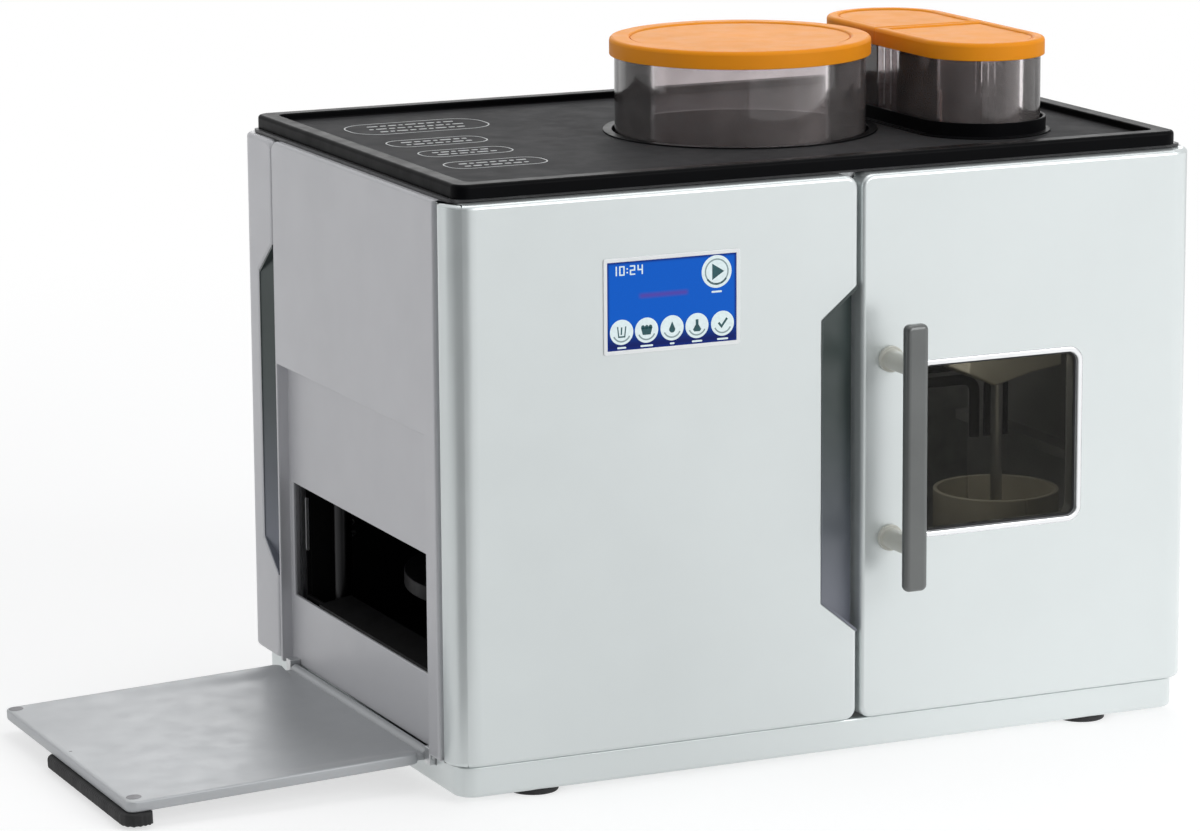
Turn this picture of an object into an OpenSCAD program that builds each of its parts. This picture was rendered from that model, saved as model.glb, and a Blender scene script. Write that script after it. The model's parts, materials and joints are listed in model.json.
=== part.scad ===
// Electric roti maker: countertop cabinet that doses, kneads, presses and bakes flatbread.
// Cabinet frame while modelling: X to the right from the left face, Y to the back from the
// front doors, Z up from the table.  placed() then moves everything so that the origin is
// the bottom centre of the whole object with its exit tray folded down.

/* [Cabinet] */
// Width of the cabinet over its side faces
body_w = 525; // [437:1:630]
// Depth of the cabinet over its front and rear doors
body_d = 364; // [304:1:437]
// Height of the side panels
panel_h = 354; // [296:1:425]
// Height of the rubber feet
foot_h = 4; // [3:0.5:8]
// Radius of the rubber feet
foot_r = 16; // [10:1:20]
// Height of the base pan
pan_h = 20; // [18:1:30]
// Thickness of the base pan's walls
pan_wall = 6; // [5:0.5:8]
// How far the base pan stands back from the side faces
pan_inset = 4.7; // [3:0.1:6]
// Radius of the cabinet's vertical corners
corner_r = 18; // [16:1:22]
// Thickness of the outer skins
skin_t = 2.5; // [2:0.25:3]
// Thickness of the inner sheet metal
sheet_t = 2; // [1.5:0.25:2.5]
// Depth of the service bay in front of the rear door
service_depth = 64; // [56:1:80]

/* [Doors] */
// Thickness of a door
door_t = 16; // [14:1:18]
// Gap between the two front doors
door_gap = 3; // [2:0.5:5]
// How far the gap lies to the right of the cabinet's middle
split_offset = 17; // [0:1:25]
// Gap under the doors
door_lift = 1; // [0.8:0.1:2]
// Gap over the doors
door_headroom = 0.5; // [0.4:0.1:1]
// Radius of the doors' corners at the gap
door_corner_r = 8; // [4:1:12]
// Radius of the knuckle that a door turns on
knuckle_r = 9; // [8:0.5:10]
// Gap between a knuckle and the side panel behind it
knuckle_gap = 1.5; // [1:0.25:3]
// Radius of the hinge pins
hinge_pin_r = 2; // [1.5:0.25:2.5]
// Radial clearance of pins and shafts in their bores
running_fit = 0.05; // [0.02:0.01:0.09]
// Length of the rear door's wrap along the left side
wrap_l = 57; // [50:1:70]
// Height of the finger pulls
pull_h = 225; // [180:1:240]
// Width of the finger pulls
pull_w = 25.5; // [20:0.5:30]
// Height of the pulls' lower end above the table
pull_z = 83; // [70:1:90]
// Rise of the pulls' slanted ends
pull_slant = 21; // [10:1:30]

/* [Display] */
// Width of the display's bezel
display_w = 93.5; // [80:0.5:110]
// Height of the display's bezel
display_h = 60.5; // [50:0.5:70]
// Distance from the display to the finger pull
display_to_pull = 57.5; // [40:0.5:60]
// Distance from the display's top to the door's top
display_drop = 39.5; // [30:0.5:60]
// Width of the bezel's border
display_border = 2.6; // [2:0.1:4]

/* [Window and handle] */
// Width of the window over its trim
window_w = 121; // [90:1:130]
// Height of the window over its trim
window_h = 115.5; // [90:0.5:140]
// Height of the window's lower edge above the table
window_z = 140; // [100:1:160]
// Distance from the handle bar to the window
window_inset = 11; // [4:1:24]
// Radius of the window's corners
window_r = 10; // [8:0.5:14]
// Width of the window's trim
trim_w = 3.5; // [3:0.25:5]
// Length of the handle bar
handle_l = 172; // [140:1:190]
// Width of the handle bar
handle_w = 16; // [12:0.5:20]
// Thickness of the handle bar
handle_t = 8; // [6:0.5:10]
// How far the handle stands out from the door
handle_reach = 38; // [30:1:45]
// Distance from the door's free edge to the handle
handle_inset = 12; // [8:0.5:16]
// Radius of the handle's posts
post_r = 6.5; // [5:0.25:7]
// Distance between the handle's posts
post_span = 116; // [90:1:130]

/* [Exit tray] */
// Length of the exit tray from its hinge axis
tray_l = 201.5; // [160:0.5:245]
// Thickness of the exit tray
tray_t = 7; // [6:0.5:7]
// Slope of the folded-down tray in degrees
tray_slope = 2.4; // [1:0.1:2.5]
// Depth of the recess that the folded-up tray fills
recess_depth = 8; // [8:0.5:10]
// Height of the exit opening
exit_h = 77; // [60:1:90]
// Height of the exit opening's lower edge above the table
exit_z = 71; // [66:1:76]
// Width of the rubber grip under the tray's edge
grip_w = 9; // [7:0.5:10]
// Length of the rubber grip
grip_l = 160; // [120:1:190]

/* [Press] */
// Gap between a platen's edge and the chamber walls
platen_gap = 26; // [24:1:34]
// Thickness of a platen
platen_t = 10; // [8:0.5:12]
// Height of the lower platen's top above the table
platen_top = 106; // [100:1:110]
// Gap between the raised platen and the lower platen
press_gap = 58; // [50:1:62]
// Travel of the upper platen
press_travel = 56; // [44:1:58]
// Radius of the press screw
screw_r = 6; // [5:0.25:7]
// Radius of the guide columns
column_r = 6; // [5:0.25:7]
// Module of the gear teeth
gear_module = 2; // [1.5:0.1:2.2]
// Teeth of the gear on the press screw
screw_teeth = 28;
// Teeth of the motor pinion
pinion_teeth = 14;

/* [Kneader] */
// Outer radius of the kneading cup
cup_r = 42; // [34:0.5:46]
// Wall of the kneading cup
cup_wall = 3; // [2:0.25:4]
// Height of the kneading cup
cup_h = 45; // [36:1:54]
// Height of the cup's rim above the table
cup_rim_z = 141; // [130:1:150]
// Distance from the cup's centre to the cabinet's right face
cup_inset = 88; // [80:1:100]
// Distance from the cup's centre to the front doors
cup_y = 105; // [95:1:120]
// How far each half of the cup slides
cup_travel = 26; // [18:1:30]
// Radius of the kneading blade's shaft
blade_shaft_r = 4; // [3:0.25:5]

/* [Containers] */
// Outer radius of the flour container
flour_r = 82.7; // [68:0.1:84]
// Distance from the flour container's centre to the cabinet's right face
flour_inset = 244; // [240:1:250]
// Depth of the flour well below the deck's top
well_depth = 57; // [47:1:66]
// Clearance between a container and its well
well_gap = 1.8; // [1:0.1:2.5]
// Height of the containers above the deck's top
container_rise = 57; // [45:1:70]
// Wall of the containers
container_wall = 2.5; // [2:0.25:3]
// Height of the lids' skirts
lid_skirt = 11.5; // [8:0.5:14]
// Radius of the tanks' round ends
tank_r = 39.5; // [33:0.5:41]
// Distance between the centres of the tanks' round ends
tank_span = 128; // [110:1:136]
// Depth of the tank well below the deck's top
tank_depth = 46; // [38:1:50]
// Gap between the flour well and the tank well
well_spacing = 9; // [6:0.5:12]

/* [Deck] */
// Thickness of the deck over its rim
deck_t = 9; // [8:0.5:12]
// Thickness of the deck's floor
deck_floor_t = 4; // [3:0.5:5]
// Width of the deck's rim
deck_rim_w = 12; // [8:0.5:14]
// How far the deck stands back from the cabinet's faces
deck_inset = 8; // [6:0.5:10]

/* [Hidden] */
$fn = 64;
// Gap between inner sheets and the skins round them
seam = 0.3;
// How far a cutting shape runs past the face that it cuts
past = 1;

// Levels, from the table up
pan_top = foot_h + pan_h;
panel_top = pan_top + panel_h;
door_z0 = pan_top + door_lift;
door_z1 = panel_top - door_headroom;
frame_top = panel_top + sheet_t;
deck_top = frame_top + deck_t;
deck_floor = frame_top + deck_floor_t;

// Doors and side panels in plan
knuckle_end = corner_r + knuckle_r;
panel_y0 = knuckle_end + knuckle_gap;
rear_panel_y1 = body_d - panel_y0;
wrap_y = body_d - wrap_l;
left_panel_y1 = wrap_y - knuckle_gap;
split_x = body_w / 2 + split_offset;
left_door_w = split_x - door_gap / 2;
right_door_w = body_w - split_x - door_gap / 2;
bulkhead_y = body_d - service_depth;
hinge_points = [
    [knuckle_r, corner_r], [body_w - knuckle_r, corner_r], [body_w - knuckle_r, body_d - corner_r]
];

// Finger pulls and display
pull_x = left_door_w - pull_w;
pull_depth = 12;
display_x1 = pull_x - display_to_pull;
display_x0 = display_x1 - display_w;
display_z1 = door_z1 - display_drop;
display_z0 = display_z1 - display_h;

// Handle and window
right_door_x = split_x + door_gap / 2;
handle_x = right_door_x + handle_inset;
handle_z = window_z + window_h / 2 + 3;
window_x0 = handle_x + handle_w + window_inset;
window_x1 = window_x0 + window_w;
window_z1 = window_z + window_h;

// Deck in plan
deck_x1 = body_w - deck_inset - 1;
deck_y1 = body_d - deck_inset + 1;
deck_r = 10;
deck_inner_r = 6;
deck_cut = sheet_t + 0.5;

// Exit tray, its hinge and the recess that it folds into
tray_x = tray_t / 2;
tray_z = pan_top - 2;
recess_y0 = panel_y0 + 16.5;
recess_y1 = left_panel_y1 - 3.5;
recess_z1 = tray_z + tray_l + 5;
tray_y0 = recess_y0 + 2;
tray_y1 = recess_y1 - 7;
bracket_w = 8;
bracket_reach = 4.5;
tray_pin_r = 1.5;
notch_y0 = recess_y0 - 1;
notch_y1 = tray_y1 + 3;
notch_z = tray_z - 5;
grip_drop = 8.5;
grip_over = 4;
recess_back = recess_depth + skin_t;
exit_y0 = recess_y0 + 20;
exit_y1 = recess_y1 - 5;

// Press chamber
chamber_x0 = recess_back + 3.5;
chamber_x1 = split_x - 13.5;
chamber_y0 = panel_y0 + 3.5;
chamber_y1 = bulkhead_y - 10;
chamber_z = 50;
press_x = (chamber_x0 + chamber_x1) / 2;
press_y = (chamber_y0 + chamber_y1) / 2;
platen_r = min(chamber_x1 - chamber_x0, chamber_y1 - chamber_y0) / 2 - platen_gap;
column_dx = (chamber_x1 - chamber_x0) / 2 - 18;
column_dy = (chamber_y1 - chamber_y0) / 2 - 22;
raised_z = platen_top + press_gap;
hanger_z = raised_z + platen_t + 6;
crosshead_z = hanger_z + press_travel + 4;
crosshead_t = 8;
crosshead_top = crosshead_z + crosshead_t;
crosshead_margin = 12;
crosshead_hole_r = 22;
crosshead_hole_at = 66;
bush_r = 10;
bush_l = 20;
nut_r = 13;
hanger_r = 5;
hanger_at = 48;
screw_z = hanger_z + 3;
screw_gear_z = crosshead_z + crosshead_t + 2;
gear_t = 8;
head_z = screw_gear_z + gear_t + 2;
head_t = 6;
gear_distance = gear_module * (screw_teeth + pinion_teeth) / 2 + 0.15;
tilt_z = platen_top - platen_t - 16;
tilt_shaft_r = 5;
stand_y = platen_r + 10;
stand_half_w = 14;
stand_half_t = 4;
pinion_shaft_r = 3;
leg_w = 12;
leg_inset = 10;
dough_port_w = 44;
dough_port_h = 48;

// Containers, wells and what hangs below them
flour_x = body_w - flour_inset;
flour_y = body_d / 2 - 7;
well_r = flour_r + well_gap;
well_floor = deck_top - well_depth;
well_bottom = well_floor - sheet_t;
container_top = deck_top + container_rise;
lid_t = 3;
lid_r = flour_r + 3.3;
tank_x = flour_x + well_r + tank_r + well_gap + 2 * sheet_t + well_spacing;
tank_y = body_d / 2 - 17;
tank_floor = deck_top - tank_depth;
tank_seam_y = tank_y + 5;
tank_outlet_y = [tank_y - tank_span / 2 - 16, tank_y + tank_span / 2 + 16];
dock_h = 5;

// Kneader
cup_x = body_w - cup_inset;
auger_r = 13;
auger_tube_r = auger_r + 2.5;
auger_z = well_bottom - auger_tube_r;
auger_x0 = flour_x + 20;
outlet_x = flour_x + 44;
outlet_y = flour_y - 55;
outlet_r = 10;
auger_x1 = cup_x + 12;
head_top = auger_z - auger_tube_r - 2;
head_h = 81;
head_tip_z = head_top - head_h;
head_wall = 3;
head_half_d = 27;
drop_x = cup_x - 24;
drop_r = 7;
auger_shaft_r = 4;
rail_r = 3;
rail_z = cup_rim_z - cup_h - 9;
rail_offset = 25;
rail_y = [cup_y - rail_offset, cup_y + rail_offset];

// Service bay and side fittings
fan_x = body_w - 90;
fan_z = pan_top + 215;
fan_r = 35;
inlet_y = body_d - 44;
inlet_z = pan_top + 56;
inlet_flange_t = 1.5;
inlet_w = 24;
inlet_h = 32;
inlet_depth = 22;
rocker_z = inlet_z + 44;
rocker_r = 9;
rocker_l = 10;
rocker_x = body_w - 6.6;
rocker_tilt = 8;
rocker_pivot_r = 1.5;
rocker_box_w = 14;
rocker_box_h = 22;
vent_pitch = 8;
vent_slot = 4;
vent_x0 = 70;
vent_x1 = 190;
vent_z = pan_top + 60;
fan_half = 40;
fan_depth = 25;

// Middle of the whole object's outline, with the tray folded down
reach_x = tray_x - (tray_l + grip_over) * cos(tray_slope) + tray_t / 2 * sin(tray_slope);
mid_x = (reach_x + body_w + inlet_flange_t) / 2;
mid_y = (body_d - handle_reach) / 2;

// ---- Shapes --------------------------------------------------------------------------

module placed() translate([-mid_x, -mid_y, 0]) children();

module slab(x0, x1, y0, y1, z0, z1)
    translate([x0, y0, z0]) cube([x1 - x0, y1 - y0, z1 - z0]);

// A flat outline raised along one axis; the outline's own axes are the other two in order
module along_x(x0, x1) translate([x0, 0, 0]) rotate([90, 0, 90]) linear_extrude(x1 - x0) children();
module along_y(y0, y1) translate([0, y1, 0]) rotate([90, 0, 0]) linear_extrude(y1 - y0) children();
module along_z(z0, z1) translate([0, 0, z0]) linear_extrude(z1 - z0) children();

module post(x, y, r, z0, z1) translate([x, y, z0]) cylinder(r = r, h = z1 - z0);
module rod_x(x0, x1, y, z, r) translate([x0, y, z]) rotate([0, 90, 0]) cylinder(r = r, h = x1 - x0);
module rod_y(x, y0, y1, z, r) translate([x, y0, z]) rotate([-90, 0, 0]) cylinder(r = r, h = y1 - y0);

module round_rect(x0, x1, y0, y1, r) {
    translate([x0 + r, y0]) square([x1 - x0 - 2 * r, y1 - y0]);
    translate([x0, y0 + r]) square([x1 - x0, y1 - y0 - 2 * r]);
    for (x = [x0 + r, x1 - r], y = [y0 + r, y1 - r]) translate([x, y]) circle(r);
}

// A tank's plan: straight sides and two round ends, a cut keeps one side of the seam
module tank_plan(grow) {
    translate([tank_x - tank_r - grow, tank_y - tank_span / 2]) square([2 * (tank_r + grow), tank_span]);
    for (side = [-1, 1]) translate([tank_x, tank_y + side * tank_span / 2]) circle(tank_r + grow);
}

module tank_side(front, gap) {
    y0 = front ? tank_y - tank_span : tank_seam_y + gap;
    y1 = front ? tank_seam_y - gap : tank_y + tank_span;
    translate([tank_x - 2 * tank_r, y0]) square([4 * tank_r, y1 - y0]);
}

// Involute gear outline.  Each flank climbs from the base circle to the tip.
pressure_angle = 25;
tooth_play = 0.25;
function roll(r, base) = sqrt(max(0, pow(r / base, 2) - 1));
function involute(r, base) = roll(r, base) * 180 / PI - atan(roll(r, base));
function polar(r, a) = [r * cos(a), r * sin(a)];
function gear_outline(teeth) =
    let (
        pitch = gear_module * teeth / 2,
        base = pitch * cos(pressure_angle),
        tip = pitch + 0.9 * gear_module,
        root = pitch - 1.15 * gear_module,
        low = max(base, root),
        half = 90 / teeth - tooth_play / pitch * 180 / PI + involute(pitch, base),
        climb = [for (k = [0 : 4]) low + (tip - low) * k / 4]
    )
    [for (i = [0 : teeth - 1]) each concat(
        [polar(root, i * 360 / teeth - half)],
        [for (r = climb) polar(r, i * 360 / teeth - half + involute(r, base))],
        [for (k = [4 : -1 : 0]) polar(climb[k], i * 360 / teeth + half - involute(climb[k], base))],
        [polar(root, i * 360 / teeth + half)]
    )];

// ---- Cabinet -------------------------------------------------------------------------

module pan_plan(grow) {
    r = corner_r - pan_inset - grow;
    round_rect(pan_inset + grow, body_w - pan_inset - grow, pan_inset + 1 + grow,
        body_d - corner_r - grow, r);
}

module base_pan() placed() color("whitesmoke") difference() {
    union() {
        difference() {
            along_z(foot_h, pan_top) pan_plan(0);
            along_z(foot_h + 4, pan_top + 1) pan_plan(pan_wall);
        }
        for (p = hinge_points) intersection() {
            post(p[0], p[1], knuckle_r, foot_h, pan_top);
            along_z(foot_h, pan_top) pan_plan(0);
        }
    }
    for (p = hinge_points) post(p[0], p[1], hinge_pin_r, foot_h + 8, pan_top + 1);
    slab(0, recess_depth + 0.5, notch_y0, notch_y1, notch_z, pan_top + 1);
}

foot_x = [62, body_w - 68];
foot_y = [24, body_d - 44];
foot_points = [for (x = foot_x, y = foot_y) [x, y]];

module rubber_feet() placed() color("black")
    for (p = foot_points) post(p[0], p[1], foot_r, 0, foot_h);

// What a square corner has outside its round: the corner at (y, z), and the round lies on the
// side that dy and dz point to
module corner_waste(y, z, dy, dz) difference() {
    translate([dy > 0 ? y - past : y - door_corner_r, dz > 0 ? z - past : z - door_corner_r])
        square(door_corner_r + past);
    translate([y + dy * door_corner_r, z + dz * door_corner_r]) circle(door_corner_r);
}

// Outer skin with inward flanges all round; x runs inward from the outer face
module side_skin(y0, y1) {
    flange = 12;
    slab(0, skin_t, y0, y1, pan_top, panel_top);
    slab(0, flange, y0, y0 + skin_t, pan_top, panel_top);
    slab(0, flange, y1 - skin_t, y1, pan_top, panel_top);
    slab(0, flange, y0, y1, panel_top - skin_t, panel_top);
}

module left_side_panel() placed() color("gainsboro") difference() {
    union() {
        side_skin(panel_y0, left_panel_y1);
        slab(0, recess_back, recess_y0 - skin_t, recess_y1 + skin_t, pan_top, recess_z1 + skin_t);
    }
    slab(-past, recess_depth, recess_y0, recess_y1, pan_top - past, recess_z1);
    slab(0, recess_back + past, exit_y0, exit_y1, exit_z, exit_z + exit_h);
    along_x(-past, door_t) corner_waste(left_panel_y1, panel_top, -1, -1);
}

// The right panel carries a ledge inside, beside the kneading cup
module right_side_panel() placed() color("gainsboro") difference() {
    union() {
        at_right() side_skin(panel_y0, rear_panel_y1);
        slab(body_w - 18, body_w - 1, panel_y0 + 20, bulkhead_y - 10, cup_rim_z + 6, cup_rim_z + 13);
    }
    inlet_block(body_w - 5, body_w + past);
    rocker_block(body_w - 5, body_w + past);
}

module inlet_block(x0, x1, grow = 0) slab(x0, x1, inlet_y - inlet_w / 2 - grow,
    inlet_y + inlet_w / 2 + grow, inlet_z - inlet_h / 2 - grow, inlet_z + inlet_h / 2 + grow);

module rocker_block(x0, x1, grow = 0) slab(x0, x1, inlet_y - rocker_box_w / 2 - grow,
    inlet_y + rocker_box_w / 2 + grow, rocker_z - rocker_box_h / 2 - grow,
    rocker_z + rocker_box_h / 2 + grow);

module rear_bulkhead() placed() color("silver") difference() {
    slab(skin_t, body_w - skin_t, bulkhead_y, bulkhead_y + sheet_t, foot_h + 4, well_bottom - 2);
    for (x = [-1, body_w - pan_inset - pan_wall])
        slab(x, x + pan_inset + pan_wall + 1, bulkhead_y - 1, bulkhead_y + 4, 0, pan_top);
    rod_y(fan_x, bulkhead_y - 1, bulkhead_y + 4, fan_z, fan_r);
    slab(-1, 15, bulkhead_y - 1, bulkhead_y + 4, 0, recess_z1 + skin_t + 1);
}

module centre_partition() placed() color("silver") difference() {
    union() {
        slab(split_x - 1, split_x + 1, door_t + 2, bulkhead_y, foot_h + 4, panel_top);
        slab(split_x - 14, split_x + 14, door_t + 2, door_t + 4, pan_top, panel_top);
    }
    post(flour_x, flour_y, well_r + sheet_t + 1.5, well_bottom - 2, panel_top + 1);
    post(flour_x, flour_y, agitator_motor_r + 2, well_bottom - agitator_motor_h - 2, panel_top + past);
    slab(split_x - 20, split_x + 20, 0, pan_wall + door_t + 1, 0, pan_top);
    slab(split_x - 2, split_x + 2, outlet_y - 20, outlet_y + 20, auger_z - 20, panel_top + 1);
    slab(split_x - 2, split_x + 2, cup_y - 30, cup_y + 30, cup_rim_z - cup_h, cup_rim_z + 40);
}

// Thin frame over the panels and doors: it carries the deck and holds the upper hinge pins
module top_frame() placed() color("dimgray") difference() {
    along_z(panel_top, frame_top)
        round_rect(knuckle_r - 4, body_w - knuckle_r + 4, corner_r - 6, body_d - corner_r + 6, 5);
    post(flour_x, flour_y, well_r + deck_cut, panel_top - past, frame_top + past);
    along_z(panel_top - past, frame_top + past) tank_plan(well_gap + deck_cut);
    for (p = hinge_points) post(p[0], p[1], hinge_pin_r, panel_top - 1, frame_top + 1);
}

module top_deck() placed() color("#3a3c3e") difference() {
    along_z(frame_top, deck_top) round_rect(deck_inset, deck_x1, deck_inset, deck_y1, deck_r);
    along_z(deck_floor, deck_top + past)
        round_rect(deck_inset + deck_rim_w, deck_x1 - deck_rim_w,
            deck_inset + deck_rim_w, deck_y1 - deck_rim_w, deck_inner_r);
    post(flour_x, flour_y, well_r + deck_cut, frame_top - past, deck_top + past);
    along_z(frame_top - past, deck_top + past) tank_plan(well_gap + deck_cut);
}

// Pots that hang in the deck on flanges: a round one for flour and a long one for the tanks
module container_wells() placed() color("#202224") {
    difference() {
        union() {
            post(flour_x, flour_y, well_r + sheet_t, well_bottom, deck_floor + 1);
            post(flour_x, flour_y, well_r + sheet_t + 4, deck_floor, deck_floor + 1);
        }
        post(flour_x, flour_y, well_r, well_floor, deck_top + 1);
        post(outlet_x, outlet_y, outlet_r, well_bottom - 1, well_floor + 1);
        post(flour_x, flour_y, 12, well_bottom - 1, well_floor + 1);
    }
    difference() {
        union() {
            along_z(tank_floor - sheet_t, deck_top + dock_h) tank_plan(well_gap + sheet_t);
            along_z(deck_floor, deck_floor + 1) tank_plan(well_gap + sheet_t + 3);
        }
        along_z(tank_floor, deck_top + dock_h + 1) tank_plan(well_gap);
        for (y = tank_outlet_y) post(tank_x, y, 6, tank_floor - 5, tank_floor + 1);
    }
}

// Two pins for each door, one standing in the base pan and one hanging from the top frame,
// and the long pin of the exit tray
module hinge_pins() placed() color("silver") {
    for (p = hinge_points) {
        post(p[0], p[1], hinge_pin_r, foot_h + 8, door_z0 + 12);
        post(p[0], p[1], hinge_pin_r, door_z1 - 12, frame_top);
    }
    rod_y(tray_x, notch_y0 + 1, notch_y1 - 0.5, tray_z, tray_pin_r);
}

// ---- Doors ---------------------------------------------------------------------------

// Quarter round corner and the knuckle beside it, for a hinge at the front left
module hinge_corner() {
    intersection() {
        translate([corner_r, corner_r]) circle(corner_r);
        square(corner_r);
    }
    translate([knuckle_r, corner_r]) circle(knuckle_r);
}

module door_plan(length) {
    translate([corner_r, 0]) square([length - corner_r, door_t]);
    hinge_corner();
}

// Hollow of a door, open to the back where the liner closes it
module door_hollow(length)
    slab(corner_r + 4, length - skin_t, skin_t, door_t + 1, door_z0 + skin_t, door_z1 - skin_t);

module hinge_bores()
    for (z = [[door_z0 - 1, door_z0 + 12.5], [door_z1 - 12.5, door_z1 + 1]])
        post(knuckle_r, corner_r, hinge_pin_r + running_fit, z[0], z[1]);

// The door from the front, with round corners on its free edge
module door_front(length) {
    translate([-1, door_z0]) square([length + 1 - door_corner_r, door_z1 - door_z0]);
    translate([0, door_z0 + door_corner_r]) square([length, door_z1 - door_z0 - 2 * door_corner_r]);
    for (z = [door_z0 + door_corner_r, door_z1 - door_corner_r])
        translate([length - door_corner_r, z]) circle(door_corner_r);
}

module front_door_shell(length) difference() {
    intersection() {
        along_z(door_z0, door_z1) door_plan(length);
        along_y(-1, knuckle_end + 1) door_front(length);
    }
    door_hollow(length);
    hinge_bores();
}

module front_door_liner(length)
    slab(corner_r + 4 + seam, length - skin_t - seam, door_t - sheet_t, door_t,
        door_z0 + skin_t + seam, door_z1 - skin_t - seam);

// Places what is modelled for a left hinge at the right hinge
module at_right() translate([body_w, 0, 0]) mirror([1, 0, 0]) children();

// Outline of a finger pull: the free edge is the long side, and both slanted ends run on
// past that edge by over
module pull_outline(inner, edge, shrink, over = 0) {
    end = edge > inner ? edge + over : edge - over;
    drop = over * pull_slant / pull_w - shrink;
    polygon([
        [inner, pull_z + pull_slant + shrink], [end, pull_z - drop],
        [end, pull_z + pull_h + drop], [inner, pull_z + pull_h - pull_slant - shrink]
    ]);
}

// Cup of a finger pull, for a free edge at x = pull_w: its floor falls towards the edge
module pull_cup() difference() {
    along_y(0.3, pull_depth) pull_outline(0, pull_w, 0);
    intersection() {
        along_y(-1, pull_depth) pull_outline(0, pull_w, 2, 1);
        along_z(0, panel_top) polygon([[1, -1], [1, 0.8], [pull_w + 1, 9.5], [pull_w + 1, -1]]);
    }
}

module left_door_body() difference() {
    front_door_shell(left_door_w);
    along_y(-1, pull_depth) pull_outline(pull_x, left_door_w, 0, 1);
    slab(display_x0 + 1, display_x1 - 1, -1, skin_t + 1, display_z0 + 1, display_z1 - 1);
}

module front_left_door() placed() color("white") left_door_body();

module left_door_liner() placed() color("gainsboro") front_door_liner(left_door_w);

module left_door_pull() placed() color("slategray") translate([pull_x, 0, 0]) pull_cup();

module display_bezel() placed() color("white") difference() {
    union() {
        along_y(-0.8, 0) round_rect(display_x0, display_x1, display_z0, display_z1, 1.5);
        slab(display_x0 + 1, display_x1 - 1, 0, 9, display_z0 + 1, display_z1 - 1);
    }
    slab(display_x0 + display_border, display_x1 - display_border, -2, 7,
        display_z0 + display_border, display_z1 - display_border);
}

module display_screen() placed() color("royalblue")
    slab(display_x0 + display_border, display_x1 - display_border, -0.4, 7,
        display_z0 + display_border, display_z1 - display_border);

module window_outline(shrink)
    round_rect(window_x0 + shrink, window_x1 - shrink, window_z + shrink, window_z1 - shrink,
        window_r - shrink);

post_x = handle_x + handle_w / 2;
module handle_post_row(r, y0, y1)
    for (side = [-1, 1]) rod_y(post_x, y0, y1, handle_z + side * post_span / 2, r);

module right_door() placed() color("white") difference() {
    at_right() front_door_shell(right_door_w);
    along_y(-1, door_t) window_outline(trim_w / 2);
    handle_post_row(2, -1, skin_t + 1);
}

module right_door_liner() placed() color("gainsboro") difference() {
    at_right() front_door_liner(right_door_w);
    along_y(-1, door_t + 1) window_outline(trim_w / 2);
}

// Trim ring with a bead on the door's face, a sleeve through the door and a lip for the pane
module window_trim() placed() color("silver") difference() {
    union() {
        along_y(-1, 0) window_outline(0);
        along_y(0, door_t) window_outline(trim_w / 2);
    }
    along_y(-2, 3) window_outline(trim_w);
    along_y(2, door_t + 1) window_outline(trim_w / 2 + 1);
}

module window_pane() placed() color([0.2, 0.2, 0.2, 0.5]) along_y(3, 6) window_outline(trim_w / 2 + 1);

module handle_bar() placed() color("gray") difference() {
    along_y(-handle_reach, handle_t - handle_reach)
        round_rect(handle_x, handle_x + handle_w, handle_z - handle_l / 2, handle_z + handle_l / 2, 4);
    handle_post_row(2.5, handle_t - handle_reach - 5, 0);
}

// Two posts with collars on the door; each ends in a pin in the bar and is screwed from inside
module handle_posts() placed() color("whitesmoke") {
    handle_post_row(post_r, handle_t - handle_reach, 0);
    handle_post_row(post_r + 2, -3, 0);
    handle_post_row(2.5, handle_t - handle_reach - 5, 0);
    handle_post_row(2, -1, skin_t);
    handle_post_row(4, skin_t, skin_t + 3);
}

// The rear door is hinged at the rear right and wraps round to the left side
rear_run = body_w - corner_r;
module at_rear() translate([body_w, body_d, 0]) rotate(180) children();

module rear_door_plan() {
    translate([body_w, body_d]) rotate(180) door_plan(rear_run);
    intersection() {
        translate([corner_r, body_d - corner_r]) circle(corner_r);
        translate([0, body_d - corner_r]) square(corner_r);
    }
    translate([0, wrap_y]) square([door_t, wrap_l - corner_r]);
}

module rear_door() placed() color("white") difference() {
    along_z(door_z0, door_z1) rear_door_plan();
    at_rear() door_hollow(rear_run + skin_t);
    slab(skin_t, door_t + 1, wrap_y + skin_t, body_d - corner_r - 3, door_z0 + skin_t, door_z1 - skin_t);
    at_rear() hinge_bores();
    along_x(-past, pull_depth) pull_outline(wrap_y + pull_w, wrap_y, 0, 1);
    along_x(-past, door_t + past) {
        corner_waste(wrap_y, door_z1, 1, -1);
        corner_waste(wrap_y, door_z0, 1, 1);
    }
    vent_row(fan_x - fan_r + 1, fan_x + fan_r - 1, fan_z - fan_half + 2, 10);
    vent_row(vent_x0, vent_x1, vent_z, 8);
}

// Louvre slots through the rear door's skin, one above the other
module vent_row(x0, x1, z, count)
    for (k = [0 : count - 1])
        slab(x0, x1, body_d - skin_t - past, body_d + past,
            z + vent_pitch * k, z + vent_pitch * k + vent_slot);

module rear_door_liner() placed() color("gainsboro") difference() {
    union() {
        at_rear() front_door_liner(rear_run);
        slab(door_t - sheet_t, door_t, wrap_y + skin_t + seam, body_d - corner_r - 3 - seam,
            door_z0 + skin_t + seam, door_z1 - skin_t - seam);
    }
    rod_y(fan_x, body_d - door_t - past, body_d - skin_t - past, fan_z, fan_r);
    slab(vent_x0, vent_x1, body_d - door_t - past, body_d - skin_t - past,
        vent_z - 2, vent_z + 8 * vent_pitch);
}

module rear_door_pull() placed() color("slategray")
    translate([0, wrap_y + pull_w, 0]) rotate(-90) pull_cup();

// ---- Exit tray -----------------------------------------------------------------------

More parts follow.
